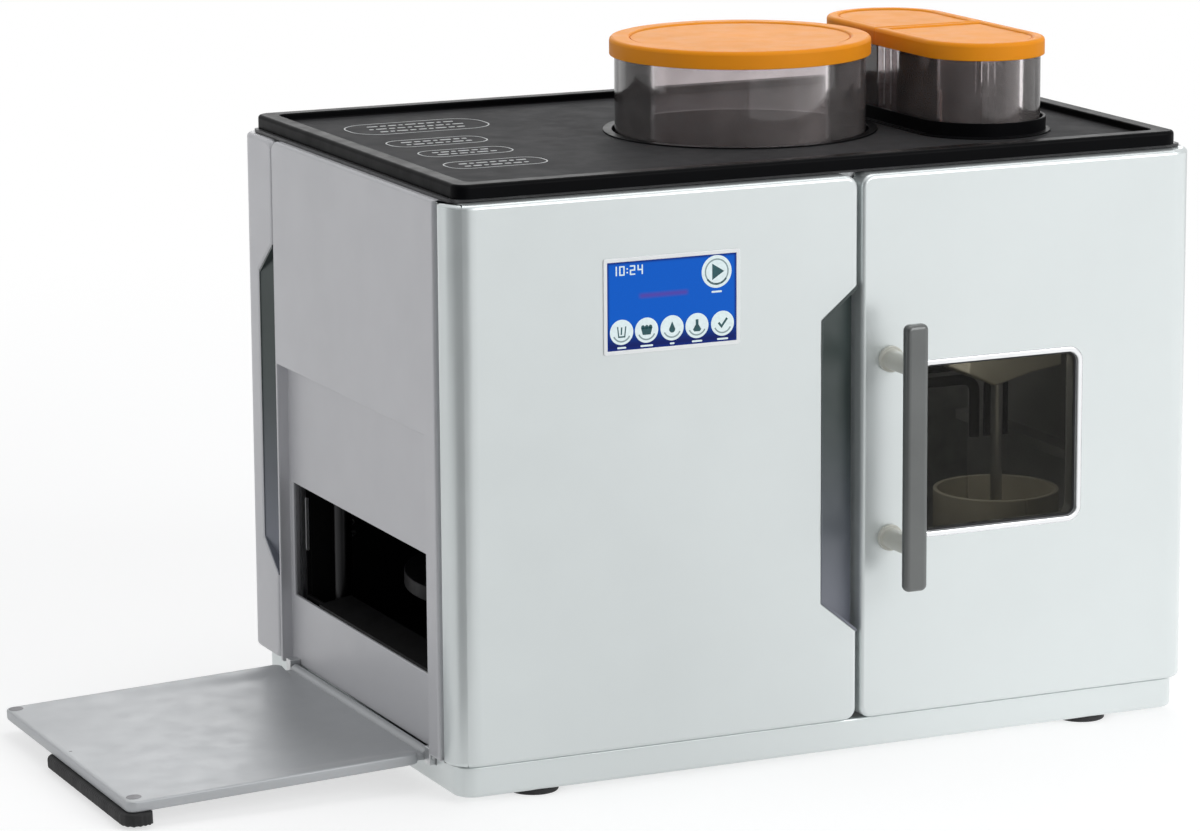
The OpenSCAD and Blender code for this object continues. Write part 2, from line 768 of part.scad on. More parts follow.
module tray_hinge_brackets() placed() color("silver") difference() {
    for (y = [recess_y0 + seam, tray_y1 - bracket_w + 1.5])
        slab(0.5, tray_x + bracket_reach, y, y + bracket_w, notch_z, tray_z + 6);
    rod_y(tray_x, notch_y0, notch_y1 + 1, tray_z, tray_pin_r);
}

// Local frame of the tray: the hinge axis is the Y axis, the tray lies towards -X
module on_tray() placed() translate([tray_x, 0, tray_z]) rotate([0, -tray_slope, 0]) children();

hinge_y0 = recess_y0 + seam + bracket_w + 0.5;
hinge_y1 = tray_y1 - bracket_w + 1;
magnet_points = [[6 - tray_l, tray_y1 - 7], [7.5 - tray_l, tray_y0 + 11]];
magnet_r = 6;
magnet_t = 2.5;
tray_corner_r = 6;

module exit_tray() on_tray() color("gainsboro") difference() {
    union() {
        along_z(-tray_t / 2, tray_t / 2) union() {
            translate([tray_corner_r - tray_l, tray_y0])
                square([tray_l - tray_corner_r - 8.5, tray_y1 - tray_y0]);
            translate([-tray_l, tray_y0 + tray_corner_r]) square([20, tray_y1 - tray_y0 - 2 * tray_corner_r]);
            for (y = [tray_y0 + tray_corner_r, tray_y1 - tray_corner_r])
                translate([tray_corner_r - tray_l, y]) circle(tray_corner_r);
            translate([-9, hinge_y0]) square([9, hinge_y1 - hinge_y0]);
        }
        rod_y(0, hinge_y0, hinge_y1, 0, tray_t / 2);
    }
    rod_y(0, tray_y0 - 1, tray_y1 + 1, 0, tray_pin_r + running_fit);
    tray_dish();
    for (p = magnet_points) post(p[0], p[1], magnet_r, tray_t / 2 - magnet_t, tray_t / 2 + 1);
    post(5.5 - tray_l, (tray_y0 + tray_y1) / 2 + 3, 1, 0, tray_t);
}

// Shallow scoop in the tray's top: it runs out before the outer edge and deepens inwards
module tray_dish() {
    top = tray_t / 2 + 0.2;
    hull() {
        translate([40 - tray_l, tray_y0 + 24, tray_t / 2 - 0.2]) cube([1, tray_y1 - tray_y0 - 48, 0.4]);
        translate([-10, tray_y0 + 22, tray_t / 2 - 3]) cube([1, tray_y1 - tray_y0 - 44, 3]);
        translate([-10, tray_y0 + 12, top - 0.4]) cube([1, tray_y1 - tray_y0 - 24, 0.4]);
    }
}

module tray_magnets() on_tray() color("dimgray")
    for (p = magnet_points) post(p[0], p[1], magnet_r, tray_t / 2 - magnet_t, tray_t / 2);

// Rubber strip below the tray's outer edge that turns round its front corner
module tray_grip() on_tray() color("#2a2a2a") along_z(-tray_t / 2 - grip_drop, -tray_t / 2) {
    x0 = -tray_l - grip_over;
    y0 = tray_y0 - grip_over;
    round_rect(x0, x0 + grip_w, y0, y0 + grip_l, grip_w / 2 - 0.1);
    round_rect(x0, x0 + 24, y0, y0 + grip_w, grip_w / 2 - 0.1);
}

// ---- Press and bake chamber ----------------------------------------------------------

column_points = [for (x = [-1, 1], y = [-1, 1]) [press_x + x * column_dx, press_y + y * column_dy]];
hangers = [for (a = [45 : 90 : 315]) [press_x + hanger_at * cos(a), press_y + hanger_at * sin(a)]];

// Black sheet box, open to the front and at the top, with the exit cut in its left wall
module press_chamber() placed() color("#161616") {
    difference() {
        slab(chamber_x0, chamber_x1, chamber_y0, chamber_y1, chamber_z, head_z);
        slab(chamber_x0 + sheet_t, chamber_x1 - sheet_t, chamber_y0 - 1, chamber_y1 - sheet_t,
            chamber_z + sheet_t, head_z + 1);
        slab(chamber_x0 - 1, chamber_x0 + sheet_t + 1, exit_y0 - 2, exit_y1 - 8, exit_z + 1, exit_z + exit_h);
        slab(chamber_x1 - sheet_t - past, chamber_x1 + past, cup_y - dough_port_w / 2,
            cup_y + dough_port_w / 2, platen_top + 4, platen_top + 4 + dough_port_h);
        rod_y(press_x, chamber_y1 - 5, chamber_y1 + 1, tilt_z, 8);
    }
    for (x = [chamber_x0 + leg_inset, chamber_x1 - leg_inset - leg_w],
        y = [chamber_y0 + leg_inset, chamber_y1 - leg_inset - leg_w])
        slab(x, x + leg_w, y, y + leg_w, foot_h + 4, chamber_z);
    exit_chute();
}

module exit_chute()
    along_y(press_y - column_dy + 12, press_y + column_dy - 12) polygon([
        [recess_depth + 1.5, exit_z], [chamber_x0 + sheet_t + 1, exit_z + 1], [chamber_x0 + 18, exit_z + 4],
        [chamber_x0 + 18, exit_z + 6], [recess_depth + 1.5, exit_z + 2]
    ]);

module guide_columns() placed() color("silver")
    for (p = column_points) post(p[0], p[1], column_r, chamber_z + sheet_t, head_z + head_t + 3);

module press_head_plate() placed() color("darkgray") difference() {
    slab(chamber_x0, chamber_x1, chamber_y0, chamber_y1, head_z, head_z + head_t);
    for (p = column_points) post(p[0], p[1], column_r, head_z - 1, head_z + head_t + 1);
    post(press_x, press_y, screw_r + running_fit, head_z - 1, head_z + head_t + 1);
    post(press_x, press_y - gear_distance, pinion_shaft_r + running_fit, head_z - 1, head_z + head_t + 1);
}

// Plate with a nut on the screw, bushes on the columns and four posts down to the platen
module press_crosshead() placed() color("darkgray") difference() {
    union() {
        along_z(crosshead_z, crosshead_z + crosshead_t) difference() {
            round_rect(press_x - column_dx - crosshead_margin, press_x + column_dx + crosshead_margin,
                press_y - column_dy - crosshead_margin, press_y + column_dy + crosshead_margin, bush_r);
            for (a = [0 : 90 : 270])
                translate([press_x + crosshead_hole_at * cos(a), press_y + crosshead_hole_at * sin(a)])
                    circle(crosshead_hole_r);
        }
        post(press_x, press_y, nut_r, crosshead_top - bush_l + 6, crosshead_top);
        for (p = column_points) post(p[0], p[1], bush_r, crosshead_top - bush_l, crosshead_top);
        for (p = hangers) post(p[0], p[1], hanger_r, hanger_z, crosshead_z);
    }
    post(press_x, press_y, screw_r + running_fit, crosshead_top - bush_l, crosshead_top + past);
    for (p = column_points)
        post(p[0], p[1], column_r + running_fit, crosshead_top - bush_l - past, crosshead_top + past);
}

module upper_platen() placed() color("#4a4a4c") {
    post(press_x, press_y, platen_r, raised_z, raised_z + platen_t);
    difference() {
        post(press_x, press_y, platen_r - 15, raised_z + platen_t, hanger_z);
        post(press_x, press_y, platen_r - 45, raised_z + platen_t, hanger_z + 1);
    }
    for (p = hangers) post(p[0], p[1], hanger_r + 4, raised_z + platen_t, hanger_z);
}

module gear(teeth, x, y, z) translate([x, y, z]) linear_extrude(gear_t) polygon(gear_outline(teeth));

// Rotating screw with its driven gear; collars above the head plate carry the load
module press_screw() placed() color("silver") {
    post(press_x, press_y, screw_r, screw_z, head_z + head_t + 6);
    post(press_x, press_y, screw_r + 4, head_z + head_t + 0.3, head_z + head_t + 6);
    gear(screw_teeth, press_x, press_y, screw_gear_z);
    post(press_x, press_y, screw_r + 4, screw_gear_z + gear_t, head_z - 0.3);
}

motor_gap = 0.5;
press_motor_r = 20;
press_motor_h = 38;
tilt_motor_r = 7;
agitator_motor_r = 18;
agitator_motor_h = 32;
auger_motor_r = 12;
blade_motor_r = 16;

module press_pinion() placed() color("goldenrod") {
    gear(pinion_teeth, press_x, press_y - gear_distance, screw_gear_z);
    post(press_x, press_y - gear_distance, pinion_shaft_r, screw_gear_z,
        head_z + head_t + motor_gap - 0.2);
}

// Baking plate that tips towards the exit on a cross shaft
module lower_platen() placed() color("#4a4a4c") {
    post(press_x, press_y, platen_r, platen_top - platen_t, platen_top);
    post(press_x, press_y, platen_r - 15, platen_top - platen_t - 6, platen_top - platen_t);
    rod_y(press_x, press_y - stand_y - 6, press_y + stand_y + 8, tilt_z, tilt_shaft_r);
    for (side = [-1, 1]) slab(press_x - 10, press_x + 10, press_y + side * 44 - 6,
        press_y + side * 44 + 6, tilt_z, platen_top - platen_t - 5);
}

module platen_stands() placed() color("silver") difference() {
    for (side = [-1, 1]) slab(press_x - stand_half_w, press_x + stand_half_w,
        press_y + side * stand_y - stand_half_t, press_y + side * stand_y + stand_half_t,
        chamber_z + sheet_t, tilt_z + 10);
    rod_y(press_x, press_y - stand_y - 5, press_y + stand_y + 5, tilt_z, tilt_shaft_r + running_fit);
}

// Fixed gear motors: press, platen tilt, flour agitator, flour auger and kneading blade
module gear_motors() placed() color("#30343a") {
    difference() {
        union() {
            post(press_x, press_y - gear_distance, press_motor_r, head_z + head_t,
                head_z + head_t + press_motor_h);
            post(press_x, press_y - gear_distance, press_motor_r + 5, head_z + head_t, head_z + head_t + 3);
        }
        post(press_x, press_y - gear_distance, 5, head_z + head_t - 1, head_z + head_t + motor_gap);
    }
    rod_y(press_x, press_y + stand_y + 8.3, bulkhead_y, tilt_z, tilt_motor_r);
    post(flour_x, flour_y, agitator_motor_r, well_bottom - agitator_motor_h, well_bottom - motor_gap);
    rod_x(auger_x1 + 4, body_w - 40, outlet_y, auger_z, auger_motor_r);
    post(cup_x, cup_y, blade_motor_r, head_tip_z + 22, head_top - 12);
}

// ---- Kneader -------------------------------------------------------------------------

// Pale housing over the cup; its underside comes down to a point left of the shaft
module kneader_head() placed() color("whitesmoke") difference() {
    along_y(cup_y - head_half_d, cup_y + head_half_d) polygon([
        [cup_x - 36, head_top], [cup_x - 36, head_tip_z + 10], [cup_x - 16, head_tip_z],
        [cup_x + 12, head_tip_z + 7], [cup_x + 34, head_tip_z + 10], [cup_x + 34, head_top]
    ]);
    slab(cup_x - 36 + head_wall, cup_x + 34 - head_wall, cup_y - head_half_d + head_wall,
        cup_y + head_half_d + past, head_tip_z + 22, head_top - head_wall);
    post(cup_x, cup_y, blade_shaft_r + running_fit, head_tip_z - 1, head_tip_z + 23);
    post(drop_x, cup_y, drop_r + 1, head_tip_z - past, head_top + past);
}

cup_floor = cup_rim_z - cup_h + cup_wall;
module kneading_blade() placed() color("silver") {
    post(cup_x, cup_y, blade_shaft_r, cup_floor + 4, head_tip_z + 21.5);
    post(cup_x, cup_y, 9, cup_floor + 4, cup_floor + 18);
    for (a = [20, 200]) translate([cup_x, cup_y, cup_floor + 2]) rotate(a)
        rotate([18, 0, 0]) slab(4, cup_r - cup_wall - 5, -2, 2, 3, 18);
}

// Half of the cup on the side of +X, split by a small gap, with lugs round both rails
module cup_half() {
    difference() {
        post(0, 0, cup_r, cup_rim_z - cup_h, cup_rim_z);
        post(0, 0, cup_r - cup_wall, cup_floor, cup_rim_z + 1);
        slab(-cup_r - 1, 0.3, -cup_r - 1, cup_r + 1, cup_rim_z - cup_h - 1, cup_rim_z + 1);
    }
    for (y = [-rail_offset, rail_offset]) difference() {
        slab(4, 22, y - 7, y + 7, rail_z - 6, cup_rim_z - cup_h);
        rod_x(3, 23, y, rail_z, rail_r + running_fit);
    }
}

module cup_half_right() placed() color("beige") translate([cup_x, cup_y, 0]) cup_half();

module cup_half_left() placed() color("beige") translate([cup_x, cup_y, 0]) mirror([1, 0, 0]) cup_half();

// Two rods between end blocks on a bench that stands in the base pan
module cup_rails() placed() color("silver") {
    x0 = cup_x - 68;
    x1 = body_w - 20;
    for (y = rail_y) rod_x(x0, x1, y, rail_z, rail_r);
    for (x = [x0 - 6, x1 - 1]) difference() {
        slab(x, x + 7, rail_y[0] - 9, rail_y[1] + 9, rail_z - 14, rail_z + 6);
        for (y = rail_y) rod_x(x - 1, x + 8, y, rail_z, rail_r);
    }
    slab(x0 - 6, x1 + 6, rail_y[0] - 9, rail_y[1] + 9, rail_z - 18, rail_z - 14);
    for (x = [x0 - 6, x1 - 6], y = [rail_y[0] - 9, rail_y[1] - 3])
        slab(x, x + 12, y, y + 12, foot_h + 4, rail_z - 18);
}

// ---- Flour, water and oil feed -------------------------------------------------------

module flour_auger_tube() placed() color("whitesmoke") difference() {
    union() {
        rod_x(auger_x0, auger_x1 + 3, outlet_y, auger_z, auger_tube_r);
        post(outlet_x, outlet_y, outlet_r + 2, auger_z, well_bottom);
        post(drop_x, outlet_y, outlet_r + 1, head_top, auger_z);
        slab(drop_x - 10, drop_x + 10, min(outlet_y, cup_y) - 8, max(outlet_y, cup_y) + 8,
            head_top, head_top + 5);
    }
    rod_x(auger_x0 + 3, auger_x1, outlet_y, auger_z, auger_r);
    rod_x(auger_x0 - past, auger_x1 + 4, outlet_y, auger_z, auger_shaft_r + running_fit);
    post(outlet_x, outlet_y, outlet_r, auger_z, well_bottom + past);
    post(drop_x, outlet_y, drop_r, head_top - past, auger_z);
}

flight_count = 13;
flight_pitch = 9;
module flour_auger() placed() color("silver") {
    rod_x(auger_x0 - 2, auger_x1 + 3.5, outlet_y, auger_z, auger_shaft_r);
    for (k = [0 : flight_count - 1])
        translate([auger_x0 + 10 + k * flight_pitch, outlet_y, auger_z])
            rotate([0, 90, 0]) auger_flight();
}

// One elliptical flight plate, tilted on the shaft
module auger_flight() intersection() {
    rotate([0, 18, 0]) cylinder(r = auger_r + 4, h = 1.6, center = true);
    cylinder(r = auger_r - 1, h = 12, center = true);
}

module feed_pumps() placed() color("#3b3f45")
    for (y = tank_outlet_y) {
        post(tank_x, y, 14, tank_floor - sheet_t - 34, tank_floor - sheet_t - 6);
        post(tank_x, y, 5.5, tank_floor - sheet_t - 6, tank_floor - sheet_t);
    }

hose_r = 3.5;
hose_bend = 9;
// Hose that runs along X at height z, bends and drops to z_end at x
module hose(x0, x, y, z, z_end) {
    rod_x(x0, x - hose_bend, y, z, hose_r);
    translate([x - hose_bend, y, z - hose_bend]) rotate([90, 0, 0])
        rotate_extrude(angle = 90) translate([hose_bend, 0]) circle(hose_r);
    post(x, y, hose_r, z_end, z - hose_bend);
}

// Three feed hoses that pass behind the kneader head and drop behind the cup
module feed_hoses() placed() color("#1d1d1f")
    for (k = [0 : 2])
        hose(split_x + 1, cup_x + 9 + 11 * k, cup_y + 47, head_tip_z - 10 + 10 * k, head_tip_z - 50);

// ---- Service bay ---------------------------------------------------------------------

module power_supply() placed() color("silver") {
    supply_x = 60;
    supply_top = foot_h + 64;
    slab(supply_x, supply_x + 140, bulkhead_y + sheet_t, bulkhead_y + sheet_t + 36, foot_h + 4, supply_top);
    for (k = [0 : 3])
        slab(supply_x + 15 + 30 * k, supply_x + 29 + 30 * k, bulkhead_y + 8, bulkhead_y + 24,
            supply_top, supply_top + 10);
}

module control_board() placed() color("darkgreen") {
    x0 = split_x - 60;
    slab(x0, x0 + 120, bulkhead_y + 10, bulkhead_y + 11.6, pan_top + 80, pan_top + 170);
    for (x = [x0 + 8, x0 + 112], z = [pan_top + 88, pan_top + 162])
        rod_y(x, bulkhead_y + sheet_t, bulkhead_y + 10, z, 3);
    for (k = [0 : 3]) slab(x0 + 14 + 26 * k, x0 + 32 + 26 * k, bulkhead_y + 11.6, bulkhead_y + 22,
        pan_top + 96, pan_top + 120);
}

module cooling_fan() placed() color("#202224") {
    y0 = bulkhead_y + sheet_t;
    difference() {
        slab(fan_x - fan_half, fan_x + fan_half, y0, y0 + fan_depth, fan_z - fan_half, fan_z + fan_half);
        rod_y(fan_x, y0 - past, y0 + fan_depth + past, fan_z, fan_r);
    }
    for (a = [0, 90]) translate([fan_x, 0, fan_z]) rotate([0, a, 0])
        slab(-fan_r - 1, fan_r + 1, y0, y0 + 3, -2, 2);
    rod_y(fan_x, y0, y0 + 8, fan_z, 12);
    rod_y(fan_x, y0 + 8, y0 + 20, fan_z, 2);
}

module fan_rotor() placed() color("#303236") difference() {
    y0 = bulkhead_y + sheet_t + 8.5;
    union() {
        rod_y(fan_x, y0, y0 + 14, fan_z, 13);
        for (a = [0 : 360 / 7 : 359]) translate([fan_x, y0 + 7, fan_z]) rotate([0, a, 0])
            rotate([35, 0, 0]) slab(11, fan_r - 2, -0.8, 0.8, -7, 7);
    }
    rod_y(fan_x, y0 - 1, y0 + 11.8, fan_z, 2 + running_fit);
}

module power_inlet() placed() color("black") difference() {
    union() {
        inlet_block(body_w - inlet_depth, body_w);
        inlet_block(body_w, body_w + inlet_flange_t, 3.5);
        rocker_block(body_w, body_w + inlet_flange_t, 3);
        rocker_block(body_w - inlet_depth, body_w);
        slab(body_w - inlet_depth, body_w - 12, inlet_y - rocker_box_w / 2, inlet_y + rocker_box_w / 2,
            inlet_z, rocker_z);
    }
    inlet_block(body_w - 16, body_w + inlet_flange_t + past, -2.5);
    rod_y(rocker_x, inlet_y - rocker_l / 2 - 0.3, inlet_y + rocker_l / 2 + 0.3, rocker_z, rocker_r + 0.3);
    rod_y(rocker_x, inlet_y - 6.5, inlet_y + 6.5, rocker_z, rocker_pivot_r + running_fit);
}

// Rocker with a shallow valley in its face, tipped to its off side
module rocker_switch() placed() color("#151515") {
    translate([rocker_x, 0, rocker_z]) rotate([0, -rocker_tilt, 0])
        along_y(inlet_y - rocker_l / 2, inlet_y + rocker_l / 2) intersection() {
            circle(rocker_r);
            polygon([
                [-rocker_r, -rocker_r], [7.2, -rocker_r], [5.2, 0], [7.2, rocker_r], [-rocker_r, rocker_r]
            ]);
        }
    rod_y(rocker_x, inlet_y - 6.4, inlet_y + 6.4, rocker_z, rocker_pivot_r);
}

// ---- Containers ----------------------------------------------------------------------

module flour_container() placed() color([0.55, 0.45, 0.35, 0.4]) difference() {
    post(flour_x, flour_y, flour_r, well_floor, container_top - lid_t);
    post(flour_x, flour_y, flour_r - container_wall, well_floor + container_wall, container_top);
    post(outlet_x, outlet_y, outlet_r, well_floor - 1, well_floor + container_wall + 1);
    post(flour_x, flour_y, agitator_shaft_r + running_fit, well_floor - past,
        well_floor + container_wall + past);
}

agitator_shaft_r = 4;
module flour_agitator() placed() color("whitesmoke") {
    post(flour_x, flour_y, agitator_shaft_r, well_bottom + 0.2, well_floor + 22);
    post(flour_x, flour_y, 9, well_floor + container_wall + 0.4, well_floor + 22);
    for (a = [0 : 120 : 240]) translate([flour_x, flour_y, well_floor + container_wall + 1]) rotate(a + 30)
        slab(6, flour_r - container_wall - 4, -2.5, 2.5, 0, 8);
}

// Lid with a low rim, a sunken middle and a skirt outside the container's wall
module flour_lid() placed() color("orange") difference() {
    post(flour_x, flour_y, lid_r, container_top - lid_skirt, container_top);
    post(flour_x, flour_y, flour_r + 0.3, container_top - lid_skirt - 1, container_top - lid_t);
    post(flour_x, flour_y, lid_r - 14, container_top - 1, container_top + 1);
}

module tank(front) placed() difference() {
    intersection() {
        along_z(tank_floor, container_top - lid_t) tank_plan(0);
        along_z(tank_floor, container_top) tank_side(front, 0.3);
    }
    intersection() {
        along_z(tank_floor + container_wall, container_top) tank_plan(-container_wall);
        along_z(tank_floor, container_top) tank_side(front, 0.3 + container_wall);
    }
    post(tank_x, tank_outlet_y[front ? 0 : 1], 4, tank_floor - 1, tank_floor + 4);
}

// Level sensor standing inside the water tank near its left wall
sensor_x = tank_x - tank_r + container_wall + 1.5;
sensor_y = tank_y - 56;
sensor_w = 13.5;
sensor_d = 12;
sensor_rise = 21;
module level_sensor() placed() along_z(tank_floor, deck_top + sensor_rise)
    round_rect(sensor_x, sensor_x + sensor_w, sensor_y, sensor_y + sensor_d, 4);

module tank_lid(front) placed() difference() {
    intersection() {
        along_z(container_top - lid_skirt, container_top) tank_plan(2.6);
        along_z(0, container_top + 1) tank_side(front, 0.15);
    }
    intersection() {
        along_z(container_top - lid_skirt - 1, container_top - lid_t) tank_plan(0.3);
        along_z(0, container_top + 1) tank_side(front, 0.05);
    }
    intersection() {
        along_z(container_top - 1, container_top + 1) tank_plan(-6);
        along_z(0, container_top + 2) tank_side(front, 7);
    }
}

module water_tank() color([0.3, 0.3, 0.32, 0.4]) {
    tank(true);
    level_sensor();
}
module water_lid() color("orange") tank_lid(true);
module oil_tank() color([0.3, 0.3, 0.32, 0.4]) tank(false);
module oil_lid() color("orange") tank_lid(false);

base_pan();
rubber_feet();
left_side_panel();
right_side_panel();
rear_bulkhead();
centre_partition();
top_frame();
top_deck();
container_wells();
hinge_pins();
front_left_door();
left_door_liner();
left_door_pull();
display_bezel();
display_screen();
right_door();
right_door_liner();
window_trim();
window_pane();
handle_bar();
handle_posts();
rear_door();
rear_door_liner();
rear_door_pull();
tray_hinge_brackets();
exit_tray();
tray_magnets();
tray_grip();
press_chamber();
guide_columns();
press_head_plate();
press_crosshead();
upper_platen();
press_screw();
press_pinion();
lower_platen();
platen_stands();
gear_motors();
kneader_head();
kneading_blade();
cup_half_left();
cup_half_right();
cup_rails();
flour_auger_tube();
flour_auger();
feed_pumps();
feed_hoses();
power_supply();
control_board();
cooling_fan();
fan_rotor();
power_inlet();
rocker_switch();
flour_container();
flour_lid();
flour_agitator();
water_tank();
water_lid();
oil_tank();
oil_lid();
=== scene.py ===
import json
import math
from collections import namedtuple

import bmesh
import bpy
from mathutils import Matrix, Vector


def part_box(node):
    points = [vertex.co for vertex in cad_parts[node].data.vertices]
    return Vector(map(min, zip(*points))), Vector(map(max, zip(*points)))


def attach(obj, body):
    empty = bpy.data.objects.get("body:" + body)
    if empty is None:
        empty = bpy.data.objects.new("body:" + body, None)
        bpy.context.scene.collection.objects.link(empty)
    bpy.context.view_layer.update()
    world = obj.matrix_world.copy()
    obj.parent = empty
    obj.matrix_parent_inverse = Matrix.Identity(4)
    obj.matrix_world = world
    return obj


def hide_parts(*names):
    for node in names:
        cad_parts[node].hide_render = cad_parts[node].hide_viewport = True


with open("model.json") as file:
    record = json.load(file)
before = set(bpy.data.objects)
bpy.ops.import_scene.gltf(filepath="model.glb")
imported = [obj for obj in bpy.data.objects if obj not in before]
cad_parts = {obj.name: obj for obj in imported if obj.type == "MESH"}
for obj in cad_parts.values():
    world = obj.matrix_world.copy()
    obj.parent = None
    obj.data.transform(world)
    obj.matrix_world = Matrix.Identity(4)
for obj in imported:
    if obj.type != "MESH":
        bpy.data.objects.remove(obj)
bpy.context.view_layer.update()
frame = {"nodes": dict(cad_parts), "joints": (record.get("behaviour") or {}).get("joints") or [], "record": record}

MM = 0.001

# The cabinet's own axes: x from its left face, y from its front face, z from the table, in millimetres.
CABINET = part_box("front_left_door")[0]
Box = namedtuple("Box", "x0 x1 y0 y1 z0 z1")


def at(x, y, z):
    """A point of the cabinet, given in millimetres, in the shared frame."""
    return Vector((CABINET.x + x * MM, CABINET.y + y * MM, z * MM))


def extent(node):
    """A node's box in cabinet millimetres."""
    low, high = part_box(node)
    return Box(
        (low.x - CABINET.x) / MM, (high.x - CABINET.x) / MM,
        (low.y - CABINET.y) / MM, (high.y - CABINET.y) / MM,
        low.z / MM, high.z / MM,
    )


def grown(box, by):
    return Box(box.x0 - by, box.x1 + by, box.y0 - by, box.y1 + by, box.z0 - by, box.z1 + by)


def new_object(name, data):
    """An object in the scene."""
    made = bpy.data.objects.new(name, data)
    bpy.context.scene.collection.objects.link(made)
    return made


# Measures that several pieces share, in cabinet millimetres.
CORNER_R = 18.0
DECK_FLOOR = 384.0
LEVEL = 0.15  # a point this near to a plane counts as on it


# ---------------- camera

CAMERA_PLACE = (-1.27447, -2.83068, 0.8475)
CAMERA_YAW = math.radians(24.415)
CAMERA_PITCH = math.radians(11.706)
CAMERA_ROLL = math.radians(-0.385)
CAMERA_LENS = 145.4
SENSOR_WIDTH = 36.0


def add_camera():
    """The photograph's viewpoint."""
    ahead = Vector((
        math.sin(CAMERA_YAW) * math.cos(CAMERA_PITCH),
        math.cos(CAMERA_YAW) * math.cos(CAMERA_PITCH),
        -math.sin(CAMERA_PITCH),
    ))
    level = Vector((math.cos(CAMERA_YAW), -math.sin(CAMERA_YAW), 0.0))
    upright = level.cross(ahead)
    right = math.cos(CAMERA_ROLL) * level + math.sin(CAMERA_ROLL) * upright
    up = math.cos(CAMERA_ROLL) * upright - math.sin(CAMERA_ROLL) * level
    data = bpy.data.cameras.new("camera")
    data.lens = CAMERA_LENS
    data.sensor_width = SENSOR_WIDTH
    data.sensor_fit = "HORIZONTAL"
    data.clip_end = 100.0
    camera = new_object("camera", data)
    turn = Matrix((right, up, -ahead)).transposed().to_4x4()
    camera.matrix_world = Matrix.Translation(CAMERA_PLACE) @ turn
    bpy.context.scene.camera = camera


# ---------------- materials

# Most of a noise lies between these values.
NOISE_LOW = 0.3
NOISE_HIGH = 0.7
NOISE_ROUGHNESS = 0.55
EDGE_SOFTNESS = 0.25
BEVEL_SAMPLES = 4


class Graph:
    """A material's node tree, with a short way to add and join nodes."""

    def __init__(self, name):
        self.material = bpy.data.materials.new(name)
        self.material.use_nodes = True
        self.tree = self.material.node_tree
        self.tree.nodes.clear()
        self.out = self.tree.nodes.new("ShaderNodeOutputMaterial")

    def add(self, kind, values=None, **settings):
        node = self.tree.nodes.new("ShaderNode" + kind)
        for key, value in settings.items():
            setattr(node, key, value)
        for key, value in (values or {}).items():
            self.put(node, key, value)
        return node

    def put(self, node, key, value):
        socket = node.inputs[key]
        if isinstance(value, bpy.types.NodeSocket):
            self.tree.links.new(value, socket)
        else:
            socket.default_value = value

    def place(self, stretch=(1.0, 1.0, 1.0)):
        """The point on the object, in metres, stretched along its axes."""
        coordinate = self.add("TexCoord")
        mapping = self.add("Mapping", {"Vector": coordinate.outputs["Object"], "Scale": stretch})
        return mapping.outputs["Vector"]

    def axis(self, name):
        """One coordinate of the point on the object, in metres."""
        return self.add("SeparateXYZ", {"Vector": self.place()}).outputs[name]

    def noise(self, size, detail=3.0, stretch=(1.0, 1.0, 1.0)):
        """Noise whose features are about size metres across."""
        texture = self.add("TexNoise", {
            "Vector": self.place(stretch), "Scale": 1.0 / size, "Detail": detail,
            "Roughness": NOISE_ROUGHNESS,
        })
        return texture.outputs["Fac"]

    def span(self, value, low, high, start=0.0, end=1.0, smooth=False):
        """The value, from start to end, spread over low to high."""
        node = self.add("MapRange", {
            "Value": value, "From Min": start, "From Max": end, "To Min": low, "To Max": high,
        })
        if smooth:
            node.interpolation_type = "SMOOTHSTEP"
        return node.outputs["Result"]

    def math(self, operation, a, b=0.0):
        return self.add("Math", {0: a, 1: b}, operation=operation).outputs[0]

    def inside(self, value, low, high, soft):
        """1 where the value lies between low and high, with soft ends."""
        rise = self.span(value, 0.0, 1.0, low - soft, low + soft, True)
        fall = self.span(value, 1.0, 0.0, high - soft, high + soft, True)
        return self.math("MULTIPLY", rise, fall)

    def mix(self, factor, a, b):
        return self.add("MixRGB", {"Fac": factor, "Color1": a, "Color2": b}).outputs["Color"]

    def edges(self, reach):
        """1 on an edge within reach metres, and 0 on the flat."""
        bent = self.add("Bevel", {"Radius": reach}, samples=BEVEL_SAMPLES)
        plain = self.add("NewGeometry")
        dot = self.add(
            "VectorMath", {0: bent.outputs["Normal"], 1: plain.outputs["Normal"]}, operation="DOT_PRODUCT"
        )
        return self.span(dot.outputs["Value"], 0.0, 1.0, 1.0, 1.0 - EDGE_SOFTNESS)

    def bump(self, height, distance):
        """The normal bent by a height, where a height of 1 stands distance metres proud."""
        return self.add("Bump", {"Height": height, "Distance": distance, "Strength": 1.0}).outputs["Normal"]

    def finish(self, shader):
        self.tree.links.new(shader, self.out.inputs["Surface"])
        return self.material


def tint(color, factor=1.0):
    """The colour made lighter or darker."""
    return tuple(min(1.0, channel * factor) for channel in color[:3]) + (1.0,)


GLOSS_PATCH = 0.3  # the size of a gloss patch, as a share of a colour patch
WORN_REACH = 0.0008
SCUFF_SIZE = 0.006
SCUFF_RANGE = (0.35, 0.65)


